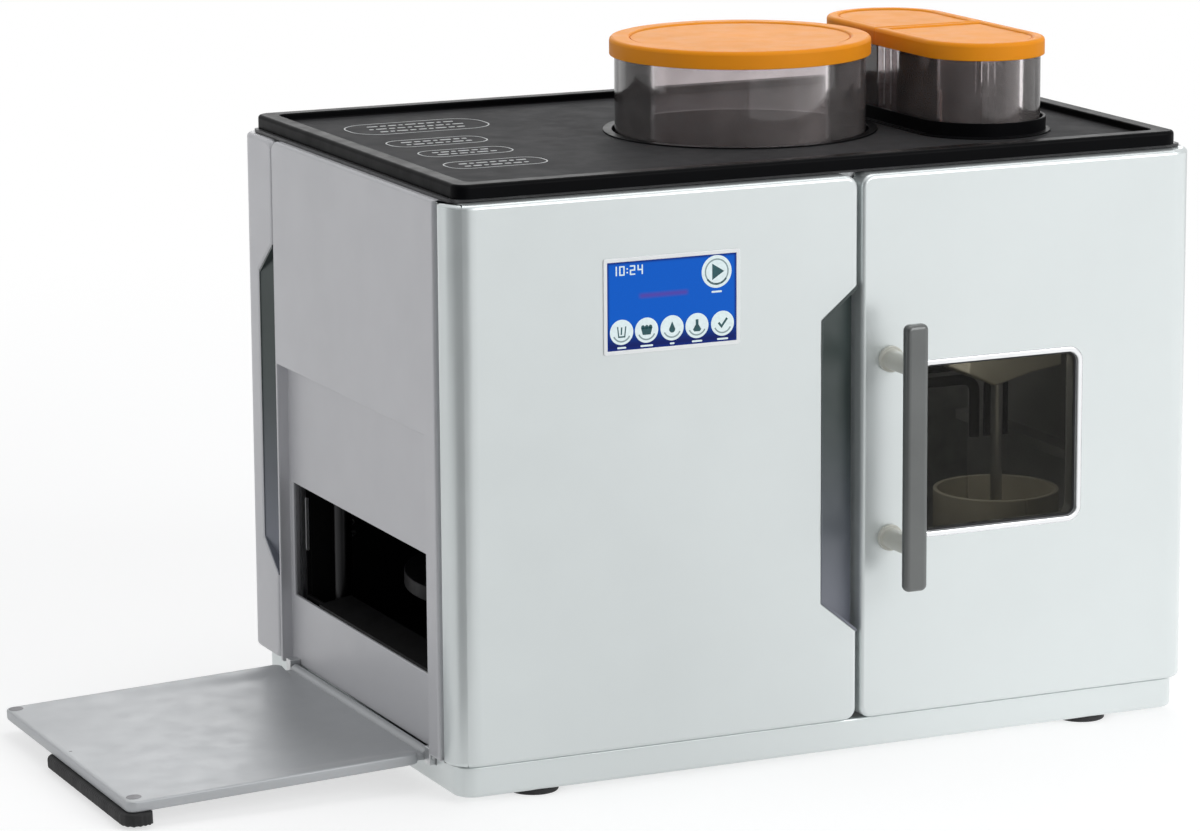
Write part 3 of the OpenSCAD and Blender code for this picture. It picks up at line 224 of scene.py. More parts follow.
def surface(name, color, rough, grain, mottle=(0.06, 0.05), worn=None, wear=0.35,
            stretch=(1.0, 1.0, 1.0), foot=None, **constants):
    """A solid finish: mottled colour, uneven gloss, a fine grain and edges that are a little worn.

    rough is the lowest and highest roughness, grain the grain's size and depth in metres, and mottle the
    size of the colour's patches in metres and how far they stray.  worn is the colour of the worn edges,
    and wear how much of it shows.  foot is a painted reflection: the colour that the finish fades to lower
    down, the height where it is reached and the height where it starts."""
    graph = Graph(name)
    patch, stray = mottle
    patches = graph.span(graph.noise(patch, 4.0), 0.0, 1.0, NOISE_LOW, NOISE_HIGH)
    base = graph.mix(patches, tint(color, 1 - stray), tint(color, 1 + stray))
    # The fade to foot's paler colour lower down paints a reflection.
    if foot is not None:
        painted_reflection_color, reached, starts = foot
        painted_reflection_fade = graph.span(graph.axis("Z"), 1.0, 0.0, reached, starts, True)
        base = graph.mix(painted_reflection_fade, base, tint(painted_reflection_color))
    grain_size, grain_depth = grain
    fine = graph.noise(grain_size, 2.0, stretch)
    gloss = graph.span(graph.noise(patch * GLOSS_PATCH, 3.0, stretch), *rough, NOISE_LOW, NOISE_HIGH)
    if worn is not None:
        scuffs = graph.span(graph.noise(SCUFF_SIZE, 4.0), 0.0, wear, *SCUFF_RANGE)
        base = graph.mix(graph.math("MULTIPLY", graph.edges(WORN_REACH), scuffs), base, tint(worn))
    shader = graph.add("BsdfPrincipled", {
        "Base Color": base, "Roughness": gloss, "Normal": graph.bump(fine, grain_depth),
    })
    for key, value in constants.items():
        shader.inputs[key.replace("_", " ")].default_value = value
    return graph.finish(shader.outputs["BSDF"])


SMUDGE_SIZE = 0.02
CLOUDING = 0.03
RIM_STARTS = 0.55  # how far edge on a wall is seen where it starts to darken
DUST_SIZE = 0.03
DUST_STRAY = 0.4
RIPPLE_SIZE = 0.012
RIPPLE_DEPTH = 0.00005


def clear_plastic(name, through, rim, gloss, ior, smear=0.04, haze=None):
    """Clear plastic or glass that lets lamps through.  It darkens to rim where the wall is seen edge on.

    gloss is its roughness and smear what smudges add to it.  haze is the colour of the dust on it, and
    how much of it there is."""
    graph = Graph(name)
    smudges = graph.noise(SMUDGE_SIZE, 4.0)
    rough = graph.span(smudges, gloss, gloss + smear, 0.35, NOISE_HIGH)
    cloud = graph.span(smudges, 0.0, 1.0, NOISE_LOW, NOISE_HIGH)
    body = graph.mix(cloud, tint(through, 1 - CLOUDING), tint(through, 1 + CLOUDING))
    edge_on = graph.add("LayerWeight", {"Blend": 0.5}).outputs["Facing"]
    body = graph.mix(graph.span(edge_on, 0.0, 1.0, RIM_STARTS, 1.0, True), body, tint(rim))
    window = graph.add("BsdfTransparent", {"Color": body}).outputs["BSDF"]
    if haze is not None:
        color, amount = haze
        least, most = amount * (1 - DUST_STRAY), amount * (1 + DUST_STRAY)
        dust = graph.span(graph.noise(DUST_SIZE, 5.0), least, most, NOISE_LOW, NOISE_HIGH)
        film = graph.add("BsdfDiffuse", {"Color": tint(color)}).outputs["BSDF"]
        window = graph.add("MixShader", {"Fac": dust, 1: window, 2: film}).outputs["Shader"]
    ripple = graph.bump(graph.noise(RIPPLE_SIZE, 2.0), RIPPLE_DEPTH)
    sheen = graph.add("BsdfGlossy", {"Color": (1.0, 1.0, 1.0, 1.0), "Roughness": rough, "Normal": ripple})
    facing = graph.add("Fresnel", {"IOR": ior})
    both = graph.add("MixShader", {
        "Fac": facing.outputs["Fac"], 1: window, 2: sheen.outputs["BSDF"],
    })
    return graph.finish(both.outputs["Shader"])


SCREEN_FOOT = (0.003, 0.012, 0.13)
SCREEN_BLUE = (0.0, 0.115, 0.62)
SCREEN_EDGE = (0.002, 0.02, 0.2)
SCREEN_NOTICE = (0.13, 0.05, 0.36)
SCREEN_GLOW = 0.85
# Shares of the screen's width or height.
NAVY_FOOT = (0.04, 0.34)
NAVY_SIDE = 0.012
NAVY_END = 0.02
NOTICE_WIDE = (0.25, 0.62)
NOTICE_TALL = (0.575, 0.625)
NOTICE_SOFT = (0.02, 0.025)
NOTICE_SHARE = 0.7
PIXEL_SIZE = 0.0005


def screen_blue(name):
    """A lit display: even blue, navy along its edges and foot, with one dull red line of notice."""
    graph = Graph(name)
    low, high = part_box("display_screen")
    x = graph.axis("X")
    z = graph.axis("Z")
    wide = high.x - low.x
    tall = high.z - low.z

    def field(across, up, soft):
        """1 inside shares of the screen's width and height, with soft ends."""
        return graph.math(
            "MULTIPLY",
            graph.inside(x, low.x + across[0] * wide, low.x + across[1] * wide, soft[0] * wide),
            graph.inside(z, low.z + up[0] * tall, low.z + up[1] * tall, soft[1] * tall),
        )

    foot = graph.span(z, 0.0, 1.0, *(low.z + share * tall for share in NAVY_FOOT), True)
    color = graph.mix(foot, tint(SCREEN_FOOT), tint(SCREEN_BLUE))
    middle = field((NAVY_SIDE, 1 - NAVY_SIDE), (NAVY_END, 1 - NAVY_END), (NAVY_SIDE, NAVY_END))
    color = graph.mix(middle, tint(SCREEN_EDGE), color)
    notice = field(NOTICE_WIDE, NOTICE_TALL, NOTICE_SOFT)
    color = graph.mix(graph.math("MULTIPLY", notice, NOTICE_SHARE), color, tint(SCREEN_NOTICE))
    pixels = graph.span(graph.noise(PIXEL_SIZE, 1.0), 0.0, 0.12, NOISE_LOW, NOISE_HIGH)
    color = graph.mix(pixels, color, tint(SCREEN_EDGE))
    shader = graph.add("BsdfPrincipled", {
        "Base Color": graph.mix(0.93, color, (0.0, 0.0, 0.0, 1.0)),
        "Roughness": graph.span(graph.noise(0.02), 0.12, 0.2),
        "Emission Color": color,
    })
    shader.inputs["Specular IOR Level"].default_value = 0.15
    shader.inputs["Emission Strength"].default_value = SCREEN_GLOW
    return graph.finish(shader.outputs["BSDF"])


def glowing(name, color, glow, stray=0.06):
    """A printed or lit mark on the display, slightly uneven."""
    graph = Graph(name)
    uneven = graph.span(graph.noise(0.002, 3.0), 0.0, 1.0, NOISE_LOW, NOISE_HIGH)
    shade = graph.mix(uneven, tint(color, 1 - stray), tint(color, 1 + stray))
    shader = graph.add("BsdfPrincipled", {
        "Base Color": graph.mix(0.7, shade, (0.0, 0.0, 0.0, 1.0)),
        "Roughness": graph.span(uneven, 0.3, 0.4),
        "Emission Color": shade,
    })
    shader.inputs["Emission Strength"].default_value = glow
    return graph.finish(shader.outputs["BSDF"])


STEEL_WEAR = (0.75, 0.75, 0.76)


def make_materials():
    """One finish for each material slot, and a few for marks and small parts."""
    made = {}

    def solid(name, *values, **constants):
        made[name] = surface(name, *values, **constants)

    solid("white_shell", (0.72, 0.765, 0.765), (0.29, 0.34), (0.003, 0.00001), (0.11, 0.018), Metallic=0.5)
    # side_shell is a darker, greyer copy of the white paint: painted shade of the sides and rear, which face away
    # from the key lamp.
    solid("side_shell", (0.6, 0.6, 0.622), (0.36, 0.44), (0.003, 0.00001), (0.09, 0.02),
          Metallic=0.2, Specular_IOR_Level=0.3)
    solid("liner", (0.6, 0.61, 0.62), (0.5, 0.65), (0.0008, 0.00005))
    solid("deck_black", (0.0035, 0.0036, 0.0042), (0.34, 0.44), (0.0012, 0.00003), (0.05, 0.1),
          (0.03, 0.03, 0.032), 0.35, Specular_IOR_Level=0.035)
    solid("deck_floor", (0.038, 0.0383, 0.04), (0.6, 0.7), (0.0012, 0.00004), (0.05, 0.07),
          Specular_IOR_Level=0.04)
    solid("frame_steel", (0.05, 0.05, 0.053), (0.4, 0.55), (0.0008, 0.00005))
    solid("sheet_steel", (0.6, 0.61, 0.62), (0.28, 0.45), (0.0006, 0.00002), (0.012, 0.12), Metallic=0.9)
    solid("cast_alloy", (0.5, 0.51, 0.52), (0.42, 0.58), (0.0012, 0.00006), (0.02, 0.08), STEEL_WEAR, 0.3,
          Metallic=0.8)
    solid("pin_steel", (0.68, 0.68, 0.69), (0.29, 0.38), (0.0003, 0.00001), stretch=(1, 1, 8), Metallic=1.0)
    # The pulls fade to a paler blue lower down: a painted reflection.
    solid("pull_slate", (0.045, 0.06, 0.058), (0.3, 0.42), (0.0007, 0.00004), (0.04, 0.1),
          (0.3, 0.31, 0.33), 0.35, foot=((0.19, 0.2, 0.24), 0.06, 0.24), Metallic=0.15)
    solid("bezel_white", (0.93, 0.95, 0.96), (0.14, 0.22), (0.0009, 0.00001), Coat_Weight=0.5)
    made["screen_blue"] = screen_blue("screen_blue")
    solid("trim_silver", (0.8, 0.81, 0.82), (0.12, 0.22), (0.001, 0.00001), Metallic=0.7)
    made["smoked_glass"] = clear_plastic(
        "smoked_glass", (0.6, 0.59, 0.55), (0.2, 0.2, 0.2), 0.03, 1.16, smear=0.02
    )
    solid("handle_grey", (0.15, 0.157, 0.155), (0.3, 0.4), (0.0004, 0.00002), (0.05, 0.08),
          (0.6, 0.6, 0.62), 0.4, (1, 1, 0.06), Metallic=0.5)
    solid("post_white", (0.62, 0.62, 0.56), (0.3, 0.4), (0.0008, 0.00003))
    solid("tray_grey", (0.5, 0.515, 0.53), (0.34, 0.44), (0.002, 0.00002), (0.06, 0.025),
          Metallic=0.2, Specular_IOR_Level=0.35)
    # The guide columns' steel is made near black: painted shade of the dark chamber behind the exit opening.
    solid("column_steel_painted_dark", (0.03, 0.03, 0.031), (0.29, 0.36), (0.0008, 0.00001), Metallic=1.0)
    solid("magnet", (0.1, 0.1, 0.11), (0.29, 0.4), (0.0005, 0.00002), Metallic=0.8)
    solid("rubber_black", (0.012, 0.012, 0.013), (0.6, 0.75), (0.0007, 0.00012))
    solid("chamber_black", (0.004, 0.004, 0.0044), (0.5, 0.65), (0.0008, 0.00008), Specular_IOR_Level=0.12)
    solid("platen_dark", (0.009, 0.009, 0.01), (0.4, 0.55), (0.0006, 0.00008), Specular_IOR_Level=0.12)
    solid("pinion_brass", (0.6, 0.42, 0.15), (0.22, 0.35), (0.0005, 0.00002), Metallic=1.0)
    solid("motor_dark", (0.06, 0.062, 0.07), (0.35, 0.5), (0.0008, 0.00006))
    solid("pale_plastic", (0.62, 0.59, 0.51), (0.4, 0.55), (0.0008, 0.00004))
    solid("board_green", (0.02, 0.12, 0.05), (0.3, 0.4), (0.0015, 0.00005), (0.008, 0.2))
    solid("fan_black", (0.02, 0.02, 0.022), (0.5, 0.62), (0.0007, 0.00006))
    made["smoky_clear"] = clear_plastic(
        "smoky_clear", (0.9, 0.875, 0.88), (0.34, 0.31, 0.32), 0.05, 1.4, haze=((0.66, 0.6, 0.59), 0.12)
    )
    solid("lid_orange", (0.93, 0.32, 0.01), (0.45, 0.55), (0.0016, 0.00002), (0.05, 0.04),
          Subsurface_Weight=0.08, Subsurface_Scale=0.004, Specular_IOR_Level=0.16)
    solid("sensor_brown", (0.3, 0.2, 0.17), (0.3, 0.45), (0.0007, 0.00004), (0.01, 0.15))
    solid("badge_print", (0.5, 0.52, 0.52), (0.45, 0.6), (0.0006, 0.00003), (0.004, 0.2))
    made["icon_white"] = glowing("icon_white", (0.74, 0.86, 0.88), 0.7)
    made["icon_shade"] = glowing("icon_shade", (0.3, 0.4, 0.42), 0.5)
    made["icon_ink"] = glowing("icon_ink", (0.01, 0.12, 0.14), 0.3, 0.2)
    return made


# ---------------- shapes

def link(name, mesh, body, slot, finishes, *replaced):
    """A mesh as a piece that rides on a body and stands for CAD nodes."""
    piece = new_object(name, mesh)
    kinds = [polygon.material_index for polygon in mesh.polygons]
    mesh.materials.clear()
    for finish in finishes:
        mesh.materials.append(MATERIALS[finish])
    mesh.polygons.foreach_set("material_index", kinds)
    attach(piece, body)
    if replaced:
        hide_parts(*replaced)
    return piece


SMOOTH_ANGLE = 38.0


def smooth(piece, angle=SMOOTH_ANGLE):
    """Round faces shade smoothly, flat ones stay flat, and edges sharper than the angle stay sharp."""
    piece.data.shade_smooth()
    piece.data.set_sharp_from_angle(angle=math.radians(angle))
    weigh = piece.modifiers.new("weigh", "WEIGHTED_NORMAL")
    weigh.keep_sharp = True
    weigh.mode = "FACE_AREA"
    weigh.weight = 100


def within(point, zone):
    """Whether a point lies in a zone: a box, or a test of a point in cabinet millimetres."""
    x = (point.x - CABINET.x) / MM
    y = (point.y - CABINET.y) / MM
    z = point.z / MM
    if callable(zone):
        return zone(x, y, z)
    return zone.x0 <= x <= zone.x1 and zone.y0 <= y <= zone.y1 and zone.z0 <= z <= zone.z1


FLAT = 0.99999  # the least cosine between two faces that count as flat with each other


def flat_group(face, taken):
    """The faces that lie flat with a face and join it."""
    group = [face]
    taken.add(face)
    for member in group:
        for edge in member.edges:
            for other in edge.link_faces:
                if other not in taken and other.normal.dot(face.normal) > FLAT:
                    taken.add(other)
                    group.append(other)
    return group


def border_loops(group):
    """The closed borders of a group of faces, each as a set of points."""
    members = set(group)
    border = [edge for face in group for edge in face.edges
              if sum(other in members for other in edge.link_faces) == 1]
    loops = []
    for edge in border:
        ends = set(edge.verts)
        joined = [loop for loop in loops if loop & ends]
        for loop in joined:
            loops.remove(loop)
            ends |= loop
        loops.append(ends)
    return loops


CUT_MARGIN = 0.2  # a cut serves a hole when it is this share of the hole's width inside it
CUT_SHIFT = 1.3e-5  # metres off the hole's middle, clear of points that lie just there
CUT_REACH = 1e-6
AXIS_LEANING = 0.1  # settles a tie between axes


def widths(loop):
    """The lowest and highest place of a loop of points along each axis."""
    return [(min(vert.co[k] for vert in loop), max(vert.co[k] for vert in loop)) for k in range(3)]


def cut_holes(bm):
    """Cuts the shape with planes through the holes of its flat faces, so that no face goes round a hole."""
    cuts = []
    taken = set()
    for face in bm.faces:
        if face in taken:
            continue
        loops = border_loops(flat_group(face, taken))
        if len(loops) < 2:
            continue
        outer_first = sorted(map(widths, loops), key=lambda span: -sum(high - low for low, high in span))
        across = min(range(3), key=lambda k: abs(face.normal[k]) + AXIS_LEANING * k)
        for span in outer_first[1:]:
            low, high = span[across]
            margin = CUT_MARGIN * (high - low)
            if not any(k == across and low + margin < place < high - margin for k, place in cuts):
                cuts.append((across, (low + high) / 2 + CUT_SHIFT))
    for k, place in cuts:
        point = Vector((0.0, 0.0, 0.0))
        normal = Vector((0.0, 0.0, 0.0))
        point[k] = place
        normal[k] = 1.0
        cut = bmesh.ops.bisect_plane(
            bm, geom=bm.verts[:] + bm.edges[:] + bm.faces[:], plane_co=point, plane_no=normal, dist=CUT_REACH
        )
        for item in cut["geom_cut"]:
            if isinstance(item, bmesh.types.BMEdge):
                item.seam = True


SAME_POINT = 2e-6
COPLANAR = math.radians(0.6)
SHARP = math.radians(32.0)
BEVEL_STEPS = 3


def softened(node, width, *zones, segments=BEVEL_STEPS, inlay=None):
    """A copy of a node's shape with its sharp edges rounded to width millimetres.

    Each zone is a box or a test, and the width of the edges inside it.  The first that holds an edge
    counts.  inlay is a box and the finish of the faces inside it."""
    widest = max([width] + [zone[1] for zone in zones])
    bm = bmesh.new()
    bm.from_mesh(frame["nodes"][node].data)
    bmesh.ops.remove_doubles(bm, verts=bm.verts, dist=SAME_POINT)
    cut_holes(bm)
    bmesh.ops.dissolve_limit(bm, angle_limit=COPLANAR, verts=bm.verts, edges=bm.edges, delimit={"SEAM"})
    weight = bm.edges.layers.float.new("bevel_weight_edge")
    for edge in bm.edges:
        if len(edge.link_faces) != 2 or edge.calc_face_angle(0.0) < SHARP:
            continue
        chosen = width
        for box, wide in zones:
            if all(within(vert.co, box) for vert in edge.verts):
                chosen = wide
                break
        edge[weight] = chosen / widest
    for face in bm.faces:
        face.material_index = int(inlay is not None and within(face.calc_center_median(), inlay[0]))
    mesh = bpy.data.meshes.new(node + "_soft")
    bm.to_mesh(mesh)
    bm.free()
    slot = SLOT_OF[node]
    finish = FINISH_OF.get(node, slot)
    finishes = [finish] if inlay is None else [finish, inlay[1]]
    piece = link(node + "_soft", mesh, BODY_OF[node], slot, finishes, node)
    bevel = piece.modifiers.new("round", "BEVEL")
    bevel.limit_method = "WEIGHT"
    bevel.width = widest * MM
    bevel.segments = segments
    bevel.use_clamp_overlap = False
    smooth(piece)
    return piece


class Form:
    """Faces gathered for one piece; each face carries the number of its finish."""

    def __init__(self, place):
        self.place = place
        self.points = []
        self.faces = []
        self.kinds = []

    def loft(self, rings, kind=0, closed=True):
        """Joins rings of equal length, and closes the first and the last."""
        base = len(self.points)
        count = len(rings[0])
        for ring in rings:
            self.points += [self.place(*point) for point in ring]
        for row in range(len(rings) - 1):
            for k in range(count):
                a = base + row * count + k
                b = base + row * count + (k + 1) % count
                self.faces.append((a, b, b + count, a + count))
                self.kinds.append(kind)
        if closed:
            top = base + (len(rings) - 1) * count
            self.faces.append(tuple(range(base + count - 1, base - 1, -1)))
            self.faces.append(tuple(range(top, top + count)))
            self.kinds += [kind, kind]

    def plate(self, outline, low, high, kind=0):
        """An outline raised from low to high."""
        self.loft([[(u, v, w) for u, v in outline] for w in (low, high)], kind)

    def band(self, outer, inner, low, high, kind=0):
        """The strip between two outlines, raised from low to high."""
        rings = [(outer, low), (outer, high), (inner, high), (inner, low), (outer, low)]
        self.loft([[(u, v, w) for u, v in ring] for ring, w in rings], kind, closed=False)

    def lathe(self, u, v, profile, count=48, kind=0):
        """A solid of revolution about the axis through (u, v); the profile lists radius and level."""
        self.loft([[(u + du, v + dv, w) for du, dv in circle(r, count)] for r, w in profile], kind)

    def mesh(self, name):
        mesh = bpy.data.meshes.new(name)
        mesh.from_pydata([tuple(point) for point in self.points], [], self.faces)
        mesh.polygons.foreach_set("material_index", self.kinds)
        bm = bmesh.new()
        bm.from_mesh(mesh)
        bmesh.ops.remove_doubles(bm, verts=bm.verts, dist=1e-7)
        bmesh.ops.recalc_face_normals(bm, faces=bm.faces)
        bm.to_mesh(mesh)
        bm.free()
        return mesh

    def piece(self, name, body, slot, finishes, *replaced, angle=SMOOTH_ANGLE):
        piece = link(name, self.mesh(name), body, slot, finishes, *replaced)
        smooth(piece, angle)
        return piece


def circle(r, count=48):
    turns = [2 * math.pi * k / count for k in range(count)]
    return [(r * math.cos(turn), r * math.sin(turn)) for turn in turns]


def arc(u, v, r, start, end, count):
    """Points on an arc, from start to end in degrees."""
    angles = [math.radians(start + (end - start) * k / count) for k in range(count + 1)]
    return [(u + r * math.cos(a), v + r * math.sin(a)) for a in angles]


def crescent(u, v, outer, inner, start, end, count):
    """The strip between two arcs about the same centre."""
    return arc(u, v, outer, start, end, count) + arc(u, v, inner, end, start, count)


def rounded(u0, u1, v0, v1, r, corner=6, along=(1, 1)):
    """A rectangle with round corners; along gives the number of steps on its sides along u and v."""
    corners = [(u1 - r, v0 + r, -90), (u1 - r, v1 - r, 0), (u0 + r, v1 - r, 90), (u0 + r, v0 + r, 180)]
    outline = []
    for k, (u, v, start) in enumerate(corners):
        here = arc(u, v, r, start, start + 90, corner)
        following = corners[(k + 1) % 4]
        there = arc(following[0], following[1], r, following[2], following[2], 1)[0]
        outline += here
        steps = along[1] if k % 2 == 0 else along[0]
        for step in range(1, steps):
            share = step / steps
            outline.append((
                here[-1][0] + (there[0] - here[-1][0]) * share,
                here[-1][1] + (there[1] - here[-1][1]) * share,
            ))
    return outline


def on_front(u, v, w):
    """u to the right, v up, w out of the doors' face."""
    return at(u, -w, v)


def on_top(u, v, w):
    return at(u, v, w)


# ---------------- cabinet

# Widths to which edges are rounded, in millimetres.
OUTER_EDGE = 2.6
THIN_EDGE = 0.4
SEAT_EDGE = 0.3
PULL_EDGE = 1.1
LOUVRE_EDGE = 0.5
PANEL_EDGE = 0.5
PANEL_OUTER_EDGE = 1.8
RECESS_EDGE = 0.7
PAN_FOOT_EDGE = 2.5
PAN_TOP_EDGE = 1.0
DECK_EDGE = 0.6
DECK_MIDDLE_EDGE = 0.9
DECK_OUTER_EDGE = 2.2
TANK_EDGE = 0.7
LID_EDGE = 0.5
LID_HOLLOW_EDGE = 0.4
LID_RIM_EDGE = 2.4
FITTING_EDGES = {
    "display_bezel": 0.35, "window_trim": 0.8, "handle_bar": 3.3, "handle_posts": 0.5, "rubber_feet": 0.8,
    "tray_hinge_brackets": 0.4, "power_inlet": 0.5, "kneader_head": 1.5, "cup_half_left": 0.8,
    "cup_half_right": 0.8, "lower_platen": 0.8, "upper_platen": 0.8,
}
HANDLE_STEPS = 6

# Where those zones lie.
LOUVRES_INSIDE = Box(40, 40, 4, 1, 20, 20)  # from the sides, the face and the ends of the rear door
RECESS_AROUND = 9  # round the folded out tray
RECESS_DEPTH = 12
RECESS_FOOT = 20
RECESS_TOP = 234
SENSOR_FROM_CORNER = Box(3.6, 18.5, 40, 70, 2.6, 70)


def corner_ends(x, y, box):
    """A test for the ends of a door's round corner, whose centre is at (x, y)."""
    def test(u, v, w):
        on_arc = abs(math.hypot(u - x, v - y) - CORNER_R) < LEVEL
        return on_arc and min(abs(w - box.z0), abs(w - box.z1)) < LEVEL
    return test


def skin_zones(box, x, *quiet):
    """Zones of a front door: wide rounding on its outer face and along the ends of its round corner."""
    face = grown(box, 1)._replace(y1=box.y0 + LEVEL)
    return list(quiet) + [(face, OUTER_EDGE), (corner_ends(x, box.y0 + CORNER_R, box), OUTER_EDGE)]


def soften_front_doors():
    door = extent("front_left_door")
    pull = (grown(extent("left_door_pull"), 0.2)._replace(y0=-1), PULL_EDGE)
    display = (grown(extent("display_bezel"), 1), SEAT_EDGE)
    softened("front_left_door", THIN_EDGE, *skin_zones(door, door.x0 + CORNER_R, pull, display))
    door = extent("right_door")
    window = (grown(extent("window_trim"), 1), SEAT_EDGE)
    posts = (grown(extent("handle_posts"), 1), 0.0)
    softened("right_door", THIN_EDGE, *skin_zones(door, door.x1 - CORNER_R, window, posts))


def soften_rear_door():
    door = extent("rear_door")
    pull = (grown(extent("rear_door_pull"), 0.2), PULL_EDGE)
    inside = LOUVRES_INSIDE
    louvres = Box(
        inside.x0, door.x1 - inside.x1, door.y1 - inside.y0, door.y1 + inside.y1,
        door.z0 + inside.z0, door.z1 - inside.z1,
    )
    back = (grown(door, 1)._replace(y0=door.y1 - LEVEL), OUTER_EDGE)
    side = (grown(door, 1)._replace(x1=LEVEL), OUTER_EDGE)
    far = door.y1 - CORNER_R
    corners = [(corner_ends(x, far, door), OUTER_EDGE) for x in (CORNER_R, door.x1 - CORNER_R)]
    softened("rear_door", THIN_EDGE, pull, (louvres, LOUVRE_EDGE), back, side, *corners)


def soften_panels():
    left = extent("left_side_panel")
    outer = grown(left, 1)._replace(x1=LEVEL)
    recess = grown(extent("exit_tray"), RECESS_AROUND)
    recess = recess._replace(x0=-1, x1=RECESS_DEPTH, z0=RECESS_FOOT, z1=RECESS_TOP)
    softened("left_side_panel", PANEL_EDGE, (recess, RECESS_EDGE), (outer, PANEL_OUTER_EDGE))
    right = extent("right_side_panel")
    fittings = grown(extent("power_inlet"), 2)
    outer = grown(right, 1)._replace(x0=right.x1 - LEVEL)
    softened("right_side_panel", PANEL_EDGE, (fittings, SEAT_EDGE), (outer, PANEL_OUTER_EDGE))
    pan = extent("base_pan")
    foot = grown(pan, 1)._replace(z1=pan.z0 + LEVEL)
    top = grown(pan, 1)._replace(z0=pan.z1 - LEVEL)
    softened("base_pan", PANEL_EDGE, (foot, PAN_FOOT_EDGE), (top, PAN_TOP_EDGE))


def soften_top():
    deck = extent("top_deck")
    middle = grown(deck, -9)._replace(z0=deck.z0, z1=deck.z1 + 1)
    floor = grown(deck, -8)._replace(z0=DECK_FLOOR - LEVEL, z1=DECK_FLOOR + LEVEL)
    rim = grown(deck, 1)._replace(z0=deck.z1 - LEVEL)
    softened("top_deck", DECK_EDGE, (middle, DECK_MIDDLE_EDGE), (rim, DECK_OUTER_EDGE),
             inlay=(floor, "deck_floor"))
    softened("container_wells", THIN_EDGE)
    for node in ("flour_container", "oil_tank"):
        softened(node, TANK_EDGE)
    tank = extent("water_tank")
    corner = (tank.x0, tank.x0, tank.y0, tank.y0, tank.z0, tank.z0)
    sensor = Box(*(start + step for start, step in zip(corner, SENSOR_FROM_CORNER)))
    softened("water_tank", TANK_EDGE, inlay=(sensor, "sensor_brown"))
    for node in ("flour_lid", "water_lid", "oil_lid"):
        lid = extent(node)
        hollow = grown(lid, -3)._replace(z1=lid.z1 - LEVEL)
        rim = grown(lid, 1)._replace(z0=lid.z1 - LEVEL)
        softened(node, LID_EDGE, (hollow, LID_HOLLOW_EDGE), (rim, LID_RIM_EDGE))


def soften_fittings():
    for node, width in FITTING_EDGES.items():
        softened(node, width, segments=HANDLE_STEPS if node == "handle_bar" else BEVEL_STEPS)


# ---------------- display

SCREEN = extent("display_screen")
SCREEN_FACE = -SCREEN.y0
ICON_R = 7.9
ICON_Z = 291.5
ICON_X = (113.7, 130.7, 148.1, 165.2, 182.8)
PLAY = (178.8, 324.5, 10.3)  # centre and radius
ICON_RISE = 0.2
INK_RISE = 0.26
PRINT_SINK = 0.05  # prints start this far below the face that they lie on
LABEL_Z = (281.2, 282.3)
LABEL_WIDTHS = (6.0, 8.5, 3.0, 7.0, 7.5)
PLAY_LABEL_Z = (311.3, 312.4)
PLAY_LABEL_WIDTH = 7.0
CLOCK = "1024"
DIGIT_BARS = {"0": "abcdef", "1": "bc", "2": "abged", "4": "fgbc"}
DIGIT_PLACES = (0.0, 5.2, 12.4, 17.6)
DIGIT_SIZE = (3.6, 6.0, 0.8)  # width, height and thickness of a digit's bars
CLOCK_FROM_LEFT = 3.0
CLOCK_BELOW_TOP = 8.5
COLON_PLACE = 10.6
COLON_RISES = (1.7, 4.0)
COLON_R = 0.5


def scaled(outline, u, v, size):
    return [(u + size * du, v + size * dv) for du, dv in outline]


def icon_glyphs():
    """The five small signs, as lists of outlines in units of a disc's radius."""
    tumbler = [
        [(-0.4, 0.45), (-0.3, -0.42), (-0.2, -0.42), (-0.3, 0.45)],
        [(0.3, 0.45), (0.2, -0.42), (0.3, -0.42), (0.4, 0.45)],
        [(-0.3, -0.42), (0.3, -0.42), (0.29, -0.3), (-0.29, -0.3)],
        [(-0.1, -0.2), (0.02, -0.2), (0.06, 0.4), (-0.06, 0.4)],
    ]
    bowl = [[(-0.5, 0.22), (-0.34, -0.36), (0.34, -0.36), (0.5, 0.22)]]
    bowl += [arc(u, 0.26, 0.16, 0, 330, 11) for u in (-0.32, 0.0, 0.32)]
    drop = [arc(0.0, -0.12, 0.26, 150, 390, 12) + [(0.0, 0.52)]]
    flask = [[
        (-0.12, 0.5), (-0.12, 0.1), (-0.36, -0.3), (-0.24, -0.46), (0.24, -0.46), (0.36, -0.3), (0.12, 0.1),
        (0.12, 0.5),
    ]]
    tick = [[(-0.42, 0.02), (-0.1, -0.38), (0.46, 0.34), (0.32, 0.46), (-0.1, -0.1), (-0.28, 0.14)]]
    return (tumbler, bowl, drop, flask, tick)


def digit_outlines(digit, u, v, wide, tall, thick):
    """The lit bars of a seven bar digit, with its lower left corner at (u, v)."""
    mid = v + tall / 2
    top = v + tall
    bars = {
        "a": (u, u + wide, top - thick, top), "d": (u, u + wide, v, v + thick),
        "g": (u, u + wide, mid - thick / 2, mid + thick / 2),
        "f": (u, u + thick, mid, top), "e": (u, u + thick, v, mid),
        "b": (u + wide - thick, u + wide, mid, top), "c": (u + wide - thick, u + wide, v, mid),
    }
    return [rounded(*bars[name], thick * 0.3, 2) for name in DIGIT_BARS[digit]]


